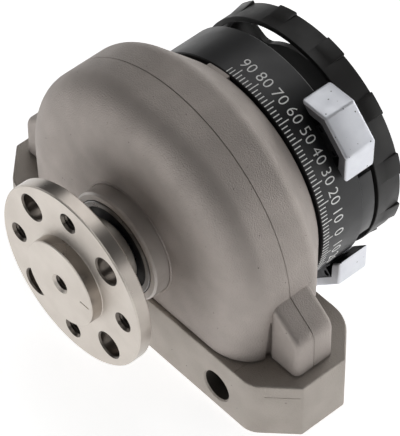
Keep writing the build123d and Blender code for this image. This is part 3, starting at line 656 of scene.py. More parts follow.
CAST = Finish(
    "cast_housing_paint", (181, 172, 166), (169, 161, 155),
    metallic=0.55, roughness=0.58, roughness_spread=0.03, grain=1.0, grain_size=0.34, pits=0.05,
    pit_size=2.2,
)
FOOT_PAINT = Finish(
    "foot_paint", (179, 171, 163), (168, 160, 152),
    metallic=0.5, roughness_spread=0.03, grain=0.9, grain_size=0.34, pits=0.05, pit_size=2.2,
)
# Painted shade: a darker copy of the foot paint for the walls of the long holes, where shade falls inside
# them.
FOOT_BORE_SHADE = Finish(
    "foot_bore_painted_shade", (84, 79, 73), (70, 66, 61),
    metallic=0.3, roughness=0.6, roughness_spread=0.03, mottle_size=3.0, grain=0.5, grain_size=0.28,
)
SATIN_NICKEL = Finish(
    "satin_nickel", (216, 208, 199), (203, 195, 186),
    metallic=0.72, roughness=0.42, roughness_spread=0.04, mottle_size=8.0, grain=0.08, grain_size=0.15,
    rings=0.12, ring_pitch=0.3,
)
# Painted reflection: a darker copy of the nickel for the turned sides of the boss and the flange, standing
# in for the dark surroundings that they reflect.
NICKEL_SIDE_REFLECTION = Finish(
    "nickel_side_painted_reflection", (186, 178, 170), (168, 160, 152),
    metallic=0.95, roughness=0.3, roughness_spread=0.04, mottle_size=8.0, grain=0.06, grain_size=0.15,
    rings=0.1, ring_pitch=0.3,
)
# Painted shade: a dark copy of the nickel for the walls of the flange's holes and the tap in the boss.
NICKEL_HOLE_SHADE = Finish(
    "nickel_hole_painted_shade", (112, 105, 98), (92, 86, 80),
    metallic=0.9, roughness=0.32, roughness_spread=0.05, mottle_size=2.0, grain=0.08, grain_size=0.15,
)
DARK_COLLAR = Finish(
    "blackened_collar", (206, 199, 194), (190, 184, 178),
    metallic=0.4, roughness=0.4, roughness_spread=0.05, mottle_size=4.0, grain=0.12, grain_size=0.2,
    rings=0.1, ring_pitch=0.25,
)
RING_STEEL = Finish(
    "seal_ring_steel", (128, 126, 124), (104, 102, 100),
    metallic=0.9, roughness=0.3, roughness_spread=0.05, mottle_size=3.0, grain=0.06, grain_size=0.12,
)
RUBBER = Finish(
    "nitrile_rubber", (30, 30, 31), (22, 22, 23),
    roughness=0.62, roughness_spread=0.08, mottle_size=3.0, grain=0.25, grain_size=0.25, specular=0.35,
)
DRUM_BLACK = Finish(
    "satin_black_drum", (29, 29, 31), (22, 22, 24),
    roughness=0.42, roughness_spread=0.05, grain=0.08, grain_size=0.2,
)
PRINT_WHITE = Finish(
    "white_scale_print", (255, 255, 253), (248, 248, 246),
    roughness=0.55, roughness_spread=0.05, mottle_size=1.5, grain_size=0.2,
)
GUARD_PLASTIC = Finish(
    "moulded_black_guard", (44, 43, 42), (36, 35, 35),
    roughness=0.45, mottle_size=5.0, grain_size=0.18, specular=0.3,
)
SILVER_CAST = Finish(
    "silver_stop_casting", (238, 240, 246), (228, 230, 237),
    metallic=0.45, roughness=0.4, mottle_size=3.0, grain=0.25, grain_size=0.2, pits=0.1, pit_size=1.5,
)
# Painted shade: a darker grey for the front faces of the upper stop's walls, which face the dark drum and
# dome.
STOP_FRONT_SHADE = Finish(
    "stop_front_painted_shade", (124, 124, 128), (110, 110, 114),
    metallic=0.3, roughness_spread=0.04, mottle_size=3.0, grain=0.3, grain_size=0.2,
)
# Painted light: a lighter copy of that grey for the same front faces on the lower stop.
LOW_STOP_FRONT_LIGHT = Finish(
    "low_stop_front_painted_light", (216, 218, 224), (202, 204, 210),
    metallic=0.3, roughness_spread=0.04, mottle_size=3.0, grain=0.3, grain_size=0.2,
)
# Painted shade: near black for the walls and floor of each stop's hollow, where shade falls.
STOP_HOLLOW_SHADE = Finish(
    "stop_hollow_painted_shade", (44, 44, 46), (36, 36, 38),
    roughness=0.6, roughness_spread=0.04, mottle_size=3.0, grain=0.3, grain_size=0.2,
)
BRIGHT_STEEL = Finish(
    "bright_steel", (190, 190, 192), (170, 170, 174),
    metallic=0.95, roughness=0.28, mottle_size=3.0, grain=0.06, grain_size=0.12,
)
# Blackened steel of the screws; the stop jaws inside the caps also take it, as painted shade in the
# hollows.
DARK_STEEL_AND_JAW_SHADE = Finish(
    "blackened_screws_and_jaw_shade", (52, 52, 55), (40, 40, 43),
    metallic=0.8, roughness=0.4, mottle_size=2.0, grain_size=0.12,
)
SHAFT_STEEL = Finish(
    "ground_shaft_steel", (172, 172, 175), (150, 150, 154),
    metallic=0.95, roughness=0.26, roughness_spread=0.05, mottle_size=4.0, grain=0.06, grain_size=0.12,
    rings=0.1,
)
PALE_FLOOR = Finish(
    "pale_floor", (250, 250, 250), (247, 247, 247),
    roughness=0.8, roughness_spread=0.04, mottle=0.3, mottle_size=60.0, grain=0.02, grain_size=3.0,
)
BEARING_STEEL = Finish(
    "bearing_steel", (186, 188, 192), (166, 168, 173),
    metallic=0.95, roughness=0.18, roughness_spread=0.04, mottle_size=3.0, grain=0.04, grain_size=0.1,
)
VANE_PLASTIC = Finish(
    "vane_composite", (70, 62, 52), (58, 51, 43),
    roughness=0.45, mottle=0.6, mottle_size=2.5, grain=0.15, grain_size=0.2,
)


class Fitting:
    """Dresses a piece and gives it to the frame."""

    @staticmethod
    def dress(piece: Piece, finish: Finish, body: str, slot: str, replaced: Sequence[str] = ()) -> None:
        """Gives a modelled piece its finish and its body.

        Args:
            piece: The piece.
            finish: Its surface finish.
            body: Body that it rides on.
            slot: Name of a material slot; not used.
            replaced: Frame nodes that it stands for.
        """
        piece.data.materials.clear()
        piece.data.materials.append(finish.material())
        Bench.weld(piece)
        Bench.shade(piece)
        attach(piece, body)
        if replaced:
            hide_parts(*replaced)
        LOG.info("%s: %d faces on %s", piece.name, len(piece.data.polygons), body)

    @staticmethod
    def part_coat(piece: Piece, finish: Finish, chosen: Callable[[Vector, Vector], bool]) -> None:
        """Gives some faces of a piece another finish.

        Args:
            piece: A dressed piece.
            finish: Finish of the chosen faces.
            chosen: Says by a face's centre in millimetres and its normal whether it is one of them.
        """
        piece.data.materials.append(finish.material())
        index = len(piece.data.materials) - 1
        for face in piece.data.polygons:
            if chosen(face.center / MM, face.normal):
                face.material_index = index

    @staticmethod
    def coat(node: Piece, finish: Finish) -> None:
        """Gives a frame node a finish and leaves its shape alone.

        Args:
            node: The frame node.
            finish: Its surface finish.
        """
        node.data.materials.clear()
        node.data.materials.append(finish.material())
        LOG.info("%s: frame node in %s", node.name, finish.name)


@dataclass
class OutputFlange:
    """The nickel flange with its tapped and plain holes."""

    radius: float = 25.0
    thickness: float = 3.9
    edge: float = 0.35
    boss_radius: float = 11.75
    boss_height: float = 3.35
    boss_edge: float = 0.2
    boss_root: float = 0.15
    hub_radius: float = 9.0
    hub_rear: float = 13.2
    hub_edge: float = 0.2
    bore_radius: float = 6.05
    shaft_stop: float = 5.0
    pitch_radius: float = 19.0
    plain_radius: float = 3.5
    tapped_radius: float = 2.1
    tapped_chamfer: float = 0.65
    thread_pitch: float = 0.8
    centre_depth: float = 6.0
    plain_chamfer: float = 0.4
    plain_reach: float = 0.5
    groove: Point = (7.4, 10.6)
    groove_width: float = 0.4
    groove_depth: float = 0.25
    wall_margin: float = 0.5
    tap_margin: float = 0.6
    face_margin: float = 0.05

    def turned_blank(self) -> Piece:
        """Turns the flange with its boss and hub.

        Returns:
            The flange without its holes.
        """
        outline = [
            (0.0, -self.boss_height),
            (self.boss_radius - self.boss_edge, -self.boss_height),
            (self.boss_radius, -self.boss_height + self.boss_edge),
            (self.boss_radius, -self.boss_root),
            (self.boss_radius + self.boss_root, 0.0),
            (self.radius - self.edge, 0.0),
            (self.radius, self.edge),
            (self.radius, self.thickness - self.edge),
            (self.radius - self.edge, self.thickness),
            (self.hub_radius, self.thickness),
            (self.hub_radius, self.hub_rear - self.hub_edge),
            (self.hub_radius - self.hub_edge, self.hub_rear),
            (self.bore_radius, self.hub_rear),
            (self.bore_radius, self.shaft_stop),
            (0.0, self.shaft_stop),
        ]
        return Bench.lathe("output_flange_turned", outline, closed=False)

    def plain_hole(self) -> Piece:
        """Makes the tool for one plain hole, with a light chamfer at each mouth.

        Returns:
            The tool.
        """
        reach = self.plain_reach
        mouth = self.plain_radius + self.plain_chamfer + reach
        profile = [
            (mouth, -reach),
            (self.plain_radius, self.plain_chamfer),
            (self.plain_radius, self.thickness - self.plain_chamfer),
            (mouth, self.thickness + reach),
        ]
        return Bench.plug("plain_hole_tool", profile, PLAIN_HOLE_STEPS)

    def tap(self, name: str, mouth: float, depth: float, closed_end: bool) -> Piece:
        """Makes the tool for one tapped hole, with its mouth at a given Y."""
        size = (self.tapped_radius, self.thread_pitch, self.tapped_chamfer)
        return thread_cutter(name, mouth, depth, *size, closed_end=closed_end)

    def build(self) -> None:
        """Cuts the holes and the index groove, and dresses the flange."""
        flange = self.turned_blank()
        for quarter in range(4):
            hole = self.plain_hole()
            Bench.move(hole, self.pitch_radius, 0.0, 0.0)
            Bench.turn(hole, 45.0 + 90.0 * quarter)
            Bench.combine(flange, hole, "DIFFERENCE")
            tap = self.tap("tapped_hole_tool", 0.0, self.thickness, closed_end=False)
            Bench.move(tap, self.pitch_radius, 0.0, 0.0)
            Bench.turn(tap, 90.0 * quarter)
            Bench.combine(flange, tap, "DIFFERENCE")
        centre = self.tap("centre_tap_tool", -self.boss_height, self.centre_depth, closed_end=True)
        Bench.combine(flange, centre, "DIFFERENCE")
        start, end = self.groove
        half = self.groove_width / 2
        outline = [(start, -half), (end, -half), (end, half), (start, half)]
        face = -self.boss_height
        floor = face + self.groove_depth
        mark = Bench.slab("index_groove_tool", outline, Draft.ACROSS, face - OVERSHOOT, floor)
        Bench.combine(flange, mark, "DIFFERENCE")
        Fitting.dress(flange, SATIN_NICKEL, "output", "flange", ["output_flange"])
        # The turned sides are painted darker as a reflection of dark surroundings.
        Fitting.part_coat(flange, NICKEL_SIDE_REFLECTION, self.on_turned_side)
        # The hole walls are painted dark as shade inside the holes.
        Fitting.part_coat(flange, NICKEL_HOLE_SHADE, self.in_hole)

    def on_turned_side(self, centre: Vector, normal: Vector) -> bool:
        """Says whether a face is on the side of the boss or the flange.

        Args:
            centre: Centre of the face in millimetres.
            normal: Its normal.

        Returns:
            Whether it is one of the turned side faces.
        """
        reach = math.hypot(centre.x, centre.z)
        on_boss = abs(reach - self.boss_radius) < 0.1 and centre.y < 0.0
        on_rim = abs(reach - self.radius) < 0.1
        return (on_boss or on_rim) and abs(normal.y) < 0.3

    def in_hole(self, centre: Vector, normal: Vector) -> bool:
        """Says whether a face is on the wall of a hole.

        Args:
            centre: Centre of the face in millimetres.
            normal: Its normal.

        Returns:
            Whether it is inside one of the holes through the flange or the tap in the boss.
        """
        reach = math.hypot(centre.x, centre.z)
        if reach < self.tapped_radius + self.tap_margin:
            return centre.y > -self.boss_height + self.tapped_chamfer * 0.9
        if not self.face_margin < centre.y < self.thickness - self.face_margin:
            return False
        around = math.degrees(math.atan2(centre.z, centre.x)) % 90.0
        holes = ((0.0, self.tapped_radius), (90.0, self.tapped_radius), (45.0, self.plain_radius))
        for angle, radius in holes:
            place = math.radians(angle)
            away = math.hypot(
                reach * math.cos(math.radians(around)) - self.pitch_radius * math.cos(place),
                reach * math.sin(math.radians(around)) - self.pitch_radius * math.sin(place),
            )
            if away < radius + self.wall_margin and abs(normal.y) < 0.95:
                return True
        return False


@dataclass
class ShaftSealing:
    """The collar round the shaft with its bright ring."""

    collar_radius: float = 15.0
    collar_bore: float = 12.95
    collar_front: float = 13.85
    housing_front: float = 18.4
    spigot_radius: float = 13.95
    spigot_rear: float = 19.0
    chamfer: float = 0.5
    bore_edge: float = 0.15
    ring_inner: float = 11.4
    ring_outer: float = 12.85
    ring_front: float = 13.6
    ring_rear: float = 14.6
    ring_inner_edge: float = 0.12
    ring_outer_edge: float = 0.2

    def build(self) -> None:
        """Turns the collar and the ring."""
        collar = Bench.lathe(
            "seal_collar_turned",
            [
                (self.collar_bore, self.collar_front + self.bore_edge),
                (self.collar_bore + self.bore_edge, self.collar_front),
                (self.collar_radius - self.chamfer, self.collar_front),
                (self.collar_radius, self.collar_front + self.chamfer),
                (self.collar_radius, self.housing_front),
                (self.spigot_radius, self.housing_front),
                (self.spigot_radius, self.spigot_rear),
                (self.collar_bore, self.spigot_rear),
            ],
        )
        Fitting.dress(collar, DARK_COLLAR, "housing", "collar", ["seal_collar"])
        ring = Bench.lathe(
            "seal_ring_turned",
            [
                (self.ring_inner, self.ring_front + self.ring_inner_edge),
                (self.ring_inner + self.ring_inner_edge, self.ring_front),
                (self.ring_outer - self.ring_outer_edge, self.ring_front),
                (self.ring_outer, self.ring_front + self.ring_outer_edge),
                (self.ring_outer, self.ring_rear),
                (self.ring_inner, self.ring_rear),
            ],
        )
        Fitting.dress(ring, RING_STEEL, "housing", "bright_steel", ["seal_ring"])


@dataclass
class Housing:
    """The two cast halves with their lugs, which meet at a scribed parting line."""

    radius: float = 41.5
    front: float = 18.4
    face_radius: float = 29.75
    dome_depth: float = 8.8
    parting: float = 32.7
    parting_edge: float = 0.2
    pocket_radius: float = 14.0
    pocket_rear: float = 27.0
    shoulder_bore: float = 10.0
    chamber_radius: float = 33.0
    chamber_front: float = 29.0
    chamber_rear: float = 44.0
    chamber_floor: float = 26.0
    neck_radius: float = 36.0
    neck_floor: float = 29.5
    neck_top: float = -15.1
    neck_front: float = 21.4
    neck_points: int = 17
    lug_inner: float = 33.5
    lug_outer: float = 50.0
    lug_shoulder: float = -4.05
    lug_top: Point = (41.3, 2.85)
    lug_front: float = 27.2
    lug_rear: float = 39.2
    lug_rounding: float = 4.5
    lug_edge: float = 1.6
    valley: Point = (40.5, 26.7)
    valley_radius: float = 0.95
    valley_top: float = 0.5
    bead_inner: float = 15.05
    bead_outer: float = 15.75
    bead_front: float = 18.1
    bead_edge: Point = (0.15, 0.1)
    bead_slope: float = 0.3
    bead_root: float = 0.2
    flank_draft: float = 3.0
    flank_floor: float = -31.0
    lug_screw: Point = (45.5, -9.2)
    counterbore_radius: float = 3.5
    counterbore_depth: float = 3.6
    counterbore_chamfer: float = 0.2
    counterbore_reach: float = 0.5
    band_rear: float = 41.25
    cone_rounding: float = 5.0
    rim_edge: Point = (31.75, 51.0)
    rim_rounding: float = 0.3
    rear: float = 51.2
    rim_radius: float = 31.0
    lip_radius: float = 8.0
    lip_rear: float = 45.2
    rear_pocket: float = 11.0
    tab_inner: float = 29.6
    tab_outer: float = 32.4
    tab_front: float = 48.95
    tab_rear: float = 51.65
    tab_angle: float = 97.5
    tab_half_angle: float = 6.5
    tab_edge: float = 0.3
    port_angles: tuple[float, ...] = (155.0, 169.0)
    port_station: float = 36.6
    port_radius: float = 2.1
    port_depth: float = 6.0
    port_groove: float = 0.3
    port_lead: float = 0.5
    port_pitch: float = 0.8
    port_flanks: int = 10
    spot_radius: float = 3.8
    spot_depth: float = 0.5
    spot_reach: float = 3.0

    def waste(self, start: float, end: float) -> Piece:
        """Makes the tool that narrows a half to the neck in the foot.

        Args:
            start: Station of its first face.
            end: Station of its last face.

        Returns:
            The tool.
        """
        radii = (self.neck_radius, self.neck_radius)
        high = math.degrees(math.asin(-self.neck_top / self.neck_radius))
        low = math.degrees(math.asin(self.neck_floor / self.neck_radius))
        left = arc((0, 0), radii, 180 + high, 180 + low, self.neck_points)
        right = arc((0, 0), radii, -low, -high, self.neck_points)
        around = [(OUTSIDE, self.neck_top), (OUTSIDE, -OUTSIDE), (-OUTSIDE, -OUTSIDE)]
        outline = [(-OUTSIDE, self.neck_top)] + left + right + around
        return Bench.slab("neck_tool", outline, Draft.ACROSS, start, end)

    def lug(self, side: int, start: float, end: float, mouth: float) -> Piece:
        """Makes one half of a side lug.

        Args:
            side: 1 for the +X side and -1 for the other.
            start: Station of its front face.
            end: Station of its rear face.
            mouth: Station of the parting face, where the edges stay crisp.

        Returns:
            The lug.
        """
        outline = rounded(
            [
                (self.lug_inner, self.neck_top, 0.0),
                (self.lug_outer, self.neck_top, 0.0),
                (self.lug_outer, self.lug_shoulder, self.lug_rounding),
                (self.lug_top[0], self.lug_top[1], 0.0),
                (self.lug_inner, self.lug_top[1], 0.0),
            ],
            facets=6,
        )
        piece = Bench.slab("side_lug", outline, Draft.ACROSS, start, end)
        far = start if mouth == end else end
        self.round_lug(piece, far, self.lug_edge, 4)
        self.round_lug(piece, mouth, self.parting_edge, 1)
        if side < 0:
            piece.data.transform(Matrix.Scale(-1, 4, (1, 0, 0)))
            piece.data.flip_normals()
        return piece

    def round_lug(self, piece: Piece, station: float, width: float, segments: int) -> None:
        """Bevels the outer edges of a lug at one station.

        Args:
            piece: The lug, on the +X side.
            station: Station of the face whose edges are bevelled.
            width: Width of the bevel.
            segments: Steps in the bevel.
        """
        Bench.pick(piece)
        bpy.ops.object.mode_set(mode="EDIT")
        bpy.ops.mesh.select_mode(type="EDGE")
        bpy.ops.mesh.select_all(action="DESELECT")
        bpy.ops.object.mode_set(mode="OBJECT")
        for edge in piece.data.edges:
            ends = [piece.data.vertices[index].co / MM for index in edge.vertices]
            flush = all(abs(end.y - station) < 1e-3 for end in ends)
            outer = all(end.x > self.lug_inner + 1 for end in ends)
            seated = all(end.z < self.neck_top + 1e-3 for end in ends)
            edge.select = flush and outer and not seated
        bpy.ops.object.mode_set(mode="EDIT")
        bpy.ops.mesh.bevel(offset=width * MM, segments=segments, affect="EDGES")
        bpy.ops.object.mode_set(mode="OBJECT")

    def valley_tool(self, side: int) -> Piece:
        """Makes the tool for the valley between the dome's flank and a lug's front face.

        Args:
            side: 1 for the +X side and -1 for the other.

        Returns:
            The tool.
        """
        across, station = self.valley
        outline = arc((side * across, station), (self.valley_radius, self.valley_radius), 0, 345, 24)
        return Bench.slab("valley_tool", outline, Draft.PLAN, self.neck_top - OVERSHOOT, self.valley_top)

    @staticmethod
    def bore(half: Piece, profile: Sequence[Point]) -> None:
        """Cuts a turned bore, given by its profile, out of one half."""
        Bench.combine(half, Bench.plug("bore_tool", profile, BORE_STEPS), "DIFFERENCE")

    def carve(self, half: Piece, start: float, end: float) -> None:
        """Cuts the neck and the chamber out of one half.

        Args:
            half: The half.
            start: Station of its front.
            end: Station of its rear.
        """
        start, end = start - OVERSHOOT, end + OVERSHOOT
        Bench.combine(half, self.waste(start, end), "DIFFERENCE")
        start, end = max(start, self.chamber_front), min(end, self.chamber_rear)
        chamber = Bench.flat_disc("chamber_tool", self.chamber_radius, self.chamber_floor, start, end)
        Bench.combine(half, chamber, "DIFFERENCE")

    def collar_bead(self) -> Piece:
        """Turns the bead round the collar.

        Returns:
            The bead.
        """
        edge_across, edge_along = self.bead_edge
        outline = [
            (self.bead_inner, self.bead_front + edge_along),
            (self.bead_inner + edge_across, self.bead_front),
            (self.bead_outer - self.bead_slope, self.bead_front),
            (self.bead_outer, self.front + self.bead_root),
            (self.bead_inner, self.front + self.bead_root),
        ]
        return Bench.lathe("collar_bead", outline)

    def front_half(self) -> Piece:
        """Lofts the dome, joins its lugs and bores it.

        Returns:
            The front half.
        """
        reach = self.radius - self.face_radius
        centre = (self.face_radius, self.front + self.dome_depth)
        outline = arc(centre, (reach, self.dome_depth), -90, 0, 25)
        outline += [
            (self.radius, self.parting - self.parting_edge),
            (self.radius - self.parting_edge, self.parting),
        ]
        half = Bench.horseshoe("front_housing_cast", outline, self.flank_draft, self.flank_floor)
        for side in (1, -1):
            Bench.combine(half, self.lug(side, self.lug_front, self.parting, self.parting), "UNION")
            Bench.combine(half, self.valley_tool(side), "DIFFERENCE")
        self.carve(half, self.front, self.parting)
        below = [
            (-OUTSIDE, self.neck_top), (-OUTSIDE, -OUTSIDE), (OUTSIDE, -OUTSIDE), (OUTSIDE, self.neck_top)
        ]
        step = Bench.slab("neck_front_tool", below, Draft.ACROSS, self.front - OVERSHOOT, self.neck_front)
        Bench.combine(half, step, "DIFFERENCE")
        self.bore(
            half,
            [
                (self.pocket_radius, self.front - OVERSHOOT),
                (self.pocket_radius, self.pocket_rear),
                (self.shoulder_bore, self.pocket_rear),
                (self.shoulder_bore, self.chamber_front + OVERSHOOT),
            ],
        )
        Bench.combine(half, self.collar_bead(), "UNION")
        return half

    def rear_half(self) -> Piece:
        """Lofts the band and the cone, joins the lugs and the tab, and bores the half.

        Returns:
            The rear half.
        """
        # The first and the last corner only guide the roundings between them, and are left out again.
        cone = rounded(
            [
                (self.radius, self.parting + 1.0, 0.0),
                (self.radius, self.band_rear, self.cone_rounding),
                (self.rim_edge[0], self.rim_edge[1], self.rim_rounding),
                (self.rim_radius - 3, self.rear, 0.0),
            ],
            facets=7,
        )
        outline = [
            (self.radius - self.parting_edge, self.parting),
            (self.radius, self.parting + self.parting_edge),
            *cone[1:-1],
            (self.rim_radius, self.rear),
        ]
        half = Bench.horseshoe("rear_housing_cast", outline, self.flank_draft, self.flank_floor)
        for side in (1, -1):
            Bench.combine(half, self.lug(side, self.parting, self.lug_rear, self.parting), "UNION")
        sector = ring_sector(self.tab_inner, self.tab_outer, self.tab_angle, self.tab_half_angle, 13)
        tab = Bench.slab("rim_tab", sector, Draft.ACROSS, self.tab_front, self.tab_rear)
        Bench.soften(tab, self.tab_edge, 2)
        Bench.combine(half, tab, "UNION")
        self.carve(half, self.parting, self.rear)
        self.bore(
            half,
            [
                (self.lip_radius, self.chamber_rear - OVERSHOOT),
                (self.lip_radius, self.lip_rear),
                (self.rear_pocket, self.lip_rear),
                (self.rear_pocket, self.rear + OVERSHOOT),
            ],
        )
        for side in (1, -1):
            bore = self.counterbore_tool()
            Bench.move(bore, side * self.lug_screw[0], 0.0, self.lug_screw[1])
            Bench.combine(half, bore, "DIFFERENCE")
        for angle in self.port_angles:
            Bench.combine(half, self.port_tool(angle), "DIFFERENCE")
        return half

    def counterbore_tool(self) -> Piece:
        """Makes the tool for the head of one housing screw, on the shaft axis.

        Returns:
            The tool.
        """
        radius, reach = self.counterbore_radius, self.counterbore_reach
        profile = [
            (radius, self.lug_rear - self.counterbore_depth),
            (radius, self.lug_rear - self.counterbore_chamfer),
            (radius + self.counterbore_chamfer + reach, self.lug_rear + reach),
        ]
        return Bench.plug("counterbore_tool", profile)

    def port_tool(self, angle: float) -> Piece:
        """Makes the tool for one threaded air port with its spot face.

        Args:
            angle: Scale angle of the port.

        Returns:
            The tool.
        """
        radius, groove, sink = self.port_radius, self.port_groove, self.spot_depth
        profile = [(self.spot_radius, -self.spot_reach), (self.spot_radius, sink)]
        profile += [(radius + groove, sink), (radius, sink + groove)]
        for index in range(self.port_flanks):
            deep = groove if index % 2 == 0 else 0.0
            profile.append((radius + deep, sink + self.port_lead + self.port_pitch / 2 * index))
        profile.append((radius, self.port_depth))
        tool = Bench.plug("port_tool", profile)
        tool.data.transform(Matrix.Rotation(math.radians(90), 4, "Z"))
        Bench.move(tool, self.radius, self.port_station, 0.0)
        Bench.turn(tool, angle)
        return tool

    def build(self) -> None:
        """Builds and dresses both halves."""
        Fitting.dress(self.front_half(), CAST, "housing", "housing", ["front_housing"])
        Fitting.dress(self.rear_half(), CAST, "housing", "housing", ["rear_housing"])


@dataclass
class MountingFoot:
    """The chamfered block with its saddle and two long holes."""

    half_width: float = 53.15
    bottom: float = -33.5
    top: float = -15.5
    front: float = 17.4
    rear: float = 49.7
    front_chamfer: float = 9.1
    rear_chamfer: float = 9.4
    front_rounding: float = 6.0
    rear_rounding: float = 11.0
    side_rounding: float = 1.0
    edge: float = 0.6
    witness_level: float = -19.4
    witness_run: tuple[Point, Point] = ((46.6, 19.95), (52.7, 26.05))
    witness_top: tuple[float, float] = (38.5, 22.0)
    witness_width: float = 0.16
    witness_depth: float = 0.15
    saddle_radius: float = 36.1
    saddle_floor: float = 29.5
    saddle_front: float = 21.4
    hole: Point = (32.4, -26.0)
    hole_radius: float = 4.2
    hole_chamfer: float = 0.4
    screws: tuple[Point, ...] = ((17.98, 25.0), (-17.98, 25.0), (17.98, 46.3), (-17.98, 46.3))
    screw_radius: float = 1.55
    screw_head: float = 3.1
    screw_depth: float = 8.0
    hole_reach: float = 0.8
    witness_reach: float = 0.3
    saddle_rear: float = 54.7

    def block(self) -> Piece:
        """Draws the plan, raises it and rounds its edges.

        Returns:
            The block without its saddle and holes.
        """
        front_x = self.half_width - self.front_chamfer
        rear_x = self.half_width - self.rear_chamfer
        outline = rounded(
            [
                (-front_x, self.front, self.front_rounding),
                (front_x, self.front, self.front_rounding),
                (self.half_width, self.front + self.front_chamfer, self.side_rounding),
                (self.half_width, self.rear - self.rear_chamfer, self.side_rounding),
                (rear_x, self.rear, self.rear_rounding),
                (-rear_x, self.rear, self.rear_rounding),
                (-self.half_width, self.rear - self.rear_chamfer, self.side_rounding),
                (-self.half_width, self.front + self.front_chamfer, self.side_rounding),
            ],
            facets=8,
        )
        piece = Bench.slab("mounting_foot_block", outline, Draft.PLAN, self.bottom, self.top)
        Bench.soften(piece, self.edge, 4, 60)
        return piece

    def hole_tool(self, side: int) -> Piece:
        """Makes the tool for one long hole.

        Args:
            side: 1 for the +X side and -1 for the other.

        Returns:
            The tool.
        """
        reach = self.hole_reach
        mouth = self.hole_radius + self.hole_chamfer + reach
        profile = [
            (mouth, self.front - reach),
            (self.hole_radius, self.front + self.hole_chamfer),
            (self.hole_radius, self.rear - self.hole_chamfer),
            (mouth, self.rear + reach),
        ]
        tool = Bench.plug("foot_hole_tool", profile, LONG_HOLE_STEPS)
        Bench.move(tool, side * self.hole[0], 0.0, self.hole[1])
        return tool

    def screw_tool(self, place: Point) -> Piece:
        """Makes the tool for one countersunk hole in the underside.

        Args:
            place: X and Y of the hole.

        Returns:
            The tool.
        """
        profile = [
            (self.screw_head, -OVERSHOOT),
            (self.screw_head, 0.0),
            (self.screw_radius, self.screw_head - self.screw_radius),
            (self.screw_radius, self.screw_depth),
        ]
        tool = Bench.plug("countersink_tool", profile, DRILL_STEPS)
        tool.data.transform(Matrix.Rotation(math.radians(90), 4, "X"))
        Bench.move(tool, place[0], place[1], self.bottom)
        return tool

    def witness_lines(self, side: int) -> list[Piece]:
        """Makes the tools for the two fine casting lines at one end of the foot.

        Args:
            side: 1 for the +X side and -1 for the other.

        Returns:
            The tool for the line down the chamfer and the one for the line across the top.
        """
        half = self.witness_width / 2
        reach = self.witness_reach
        depth = self.witness_depth / math.sqrt(2)
        (near_x, near_y), (far_x, far_y) = self.witness_run
        run = [
            (side * (near_x + reach), near_y - reach),
            (side * (far_x + reach), far_y - reach),
            (side * (far_x - depth), far_y + depth),
            (side * (near_x - depth), near_y + depth),
        ]
        across, rear = self.witness_top
        top = [
            (side * across - half, self.front - OVERSHOOT),
            (side * across + half, self.front - OVERSHOOT),
            (side * across + half, rear),
            (side * across - half, rear),
        ]
        level = self.witness_level
        low = self.top - self.witness_depth
        return [
            Bench.slab("witness_tool", run, Draft.PLAN, level - half, level + half),
            Bench.slab("witness_tool", top, Draft.PLAN, low, self.top + OVERSHOOT),
        ]

    def in_hole(self, centre: Vector, normal: Vector) -> bool:
        """Says whether a face is on the wall of a long hole.

        Args:
            centre: Centre of the face in millimetres.
            normal: Its normal.

        Returns:
            Whether it is inside one of the two holes.
        """
        across, level = self.hole
        away = math.hypot(abs(centre.x) - across, centre.z - level)
        return away < self.hole_radius + 0.05 and abs(normal.y) < 0.5

    def build(self) -> None:
        """Cuts the saddle and the holes, and dresses the foot."""
        foot = self.block()
        span = (self.saddle_front, self.saddle_rear)
        saddle = Bench.flat_disc("saddle_tool", self.saddle_radius, self.saddle_floor, *span)
        Bench.combine(foot, saddle, "DIFFERENCE")
        for side in (1, -1):
            for tool in (self.hole_tool(side), *self.witness_lines(side)):
                Bench.combine(foot, tool, "DIFFERENCE")
        for place in self.screws:
            Bench.combine(foot, self.screw_tool(place), "DIFFERENCE")
        Fitting.dress(foot, FOOT_PAINT, "housing", "foot", ["mounting_foot"])
        # The walls of the long holes are painted darker as shade inside the holes.
        Fitting.part_coat(foot, FOOT_BORE_SHADE, self.in_hole)


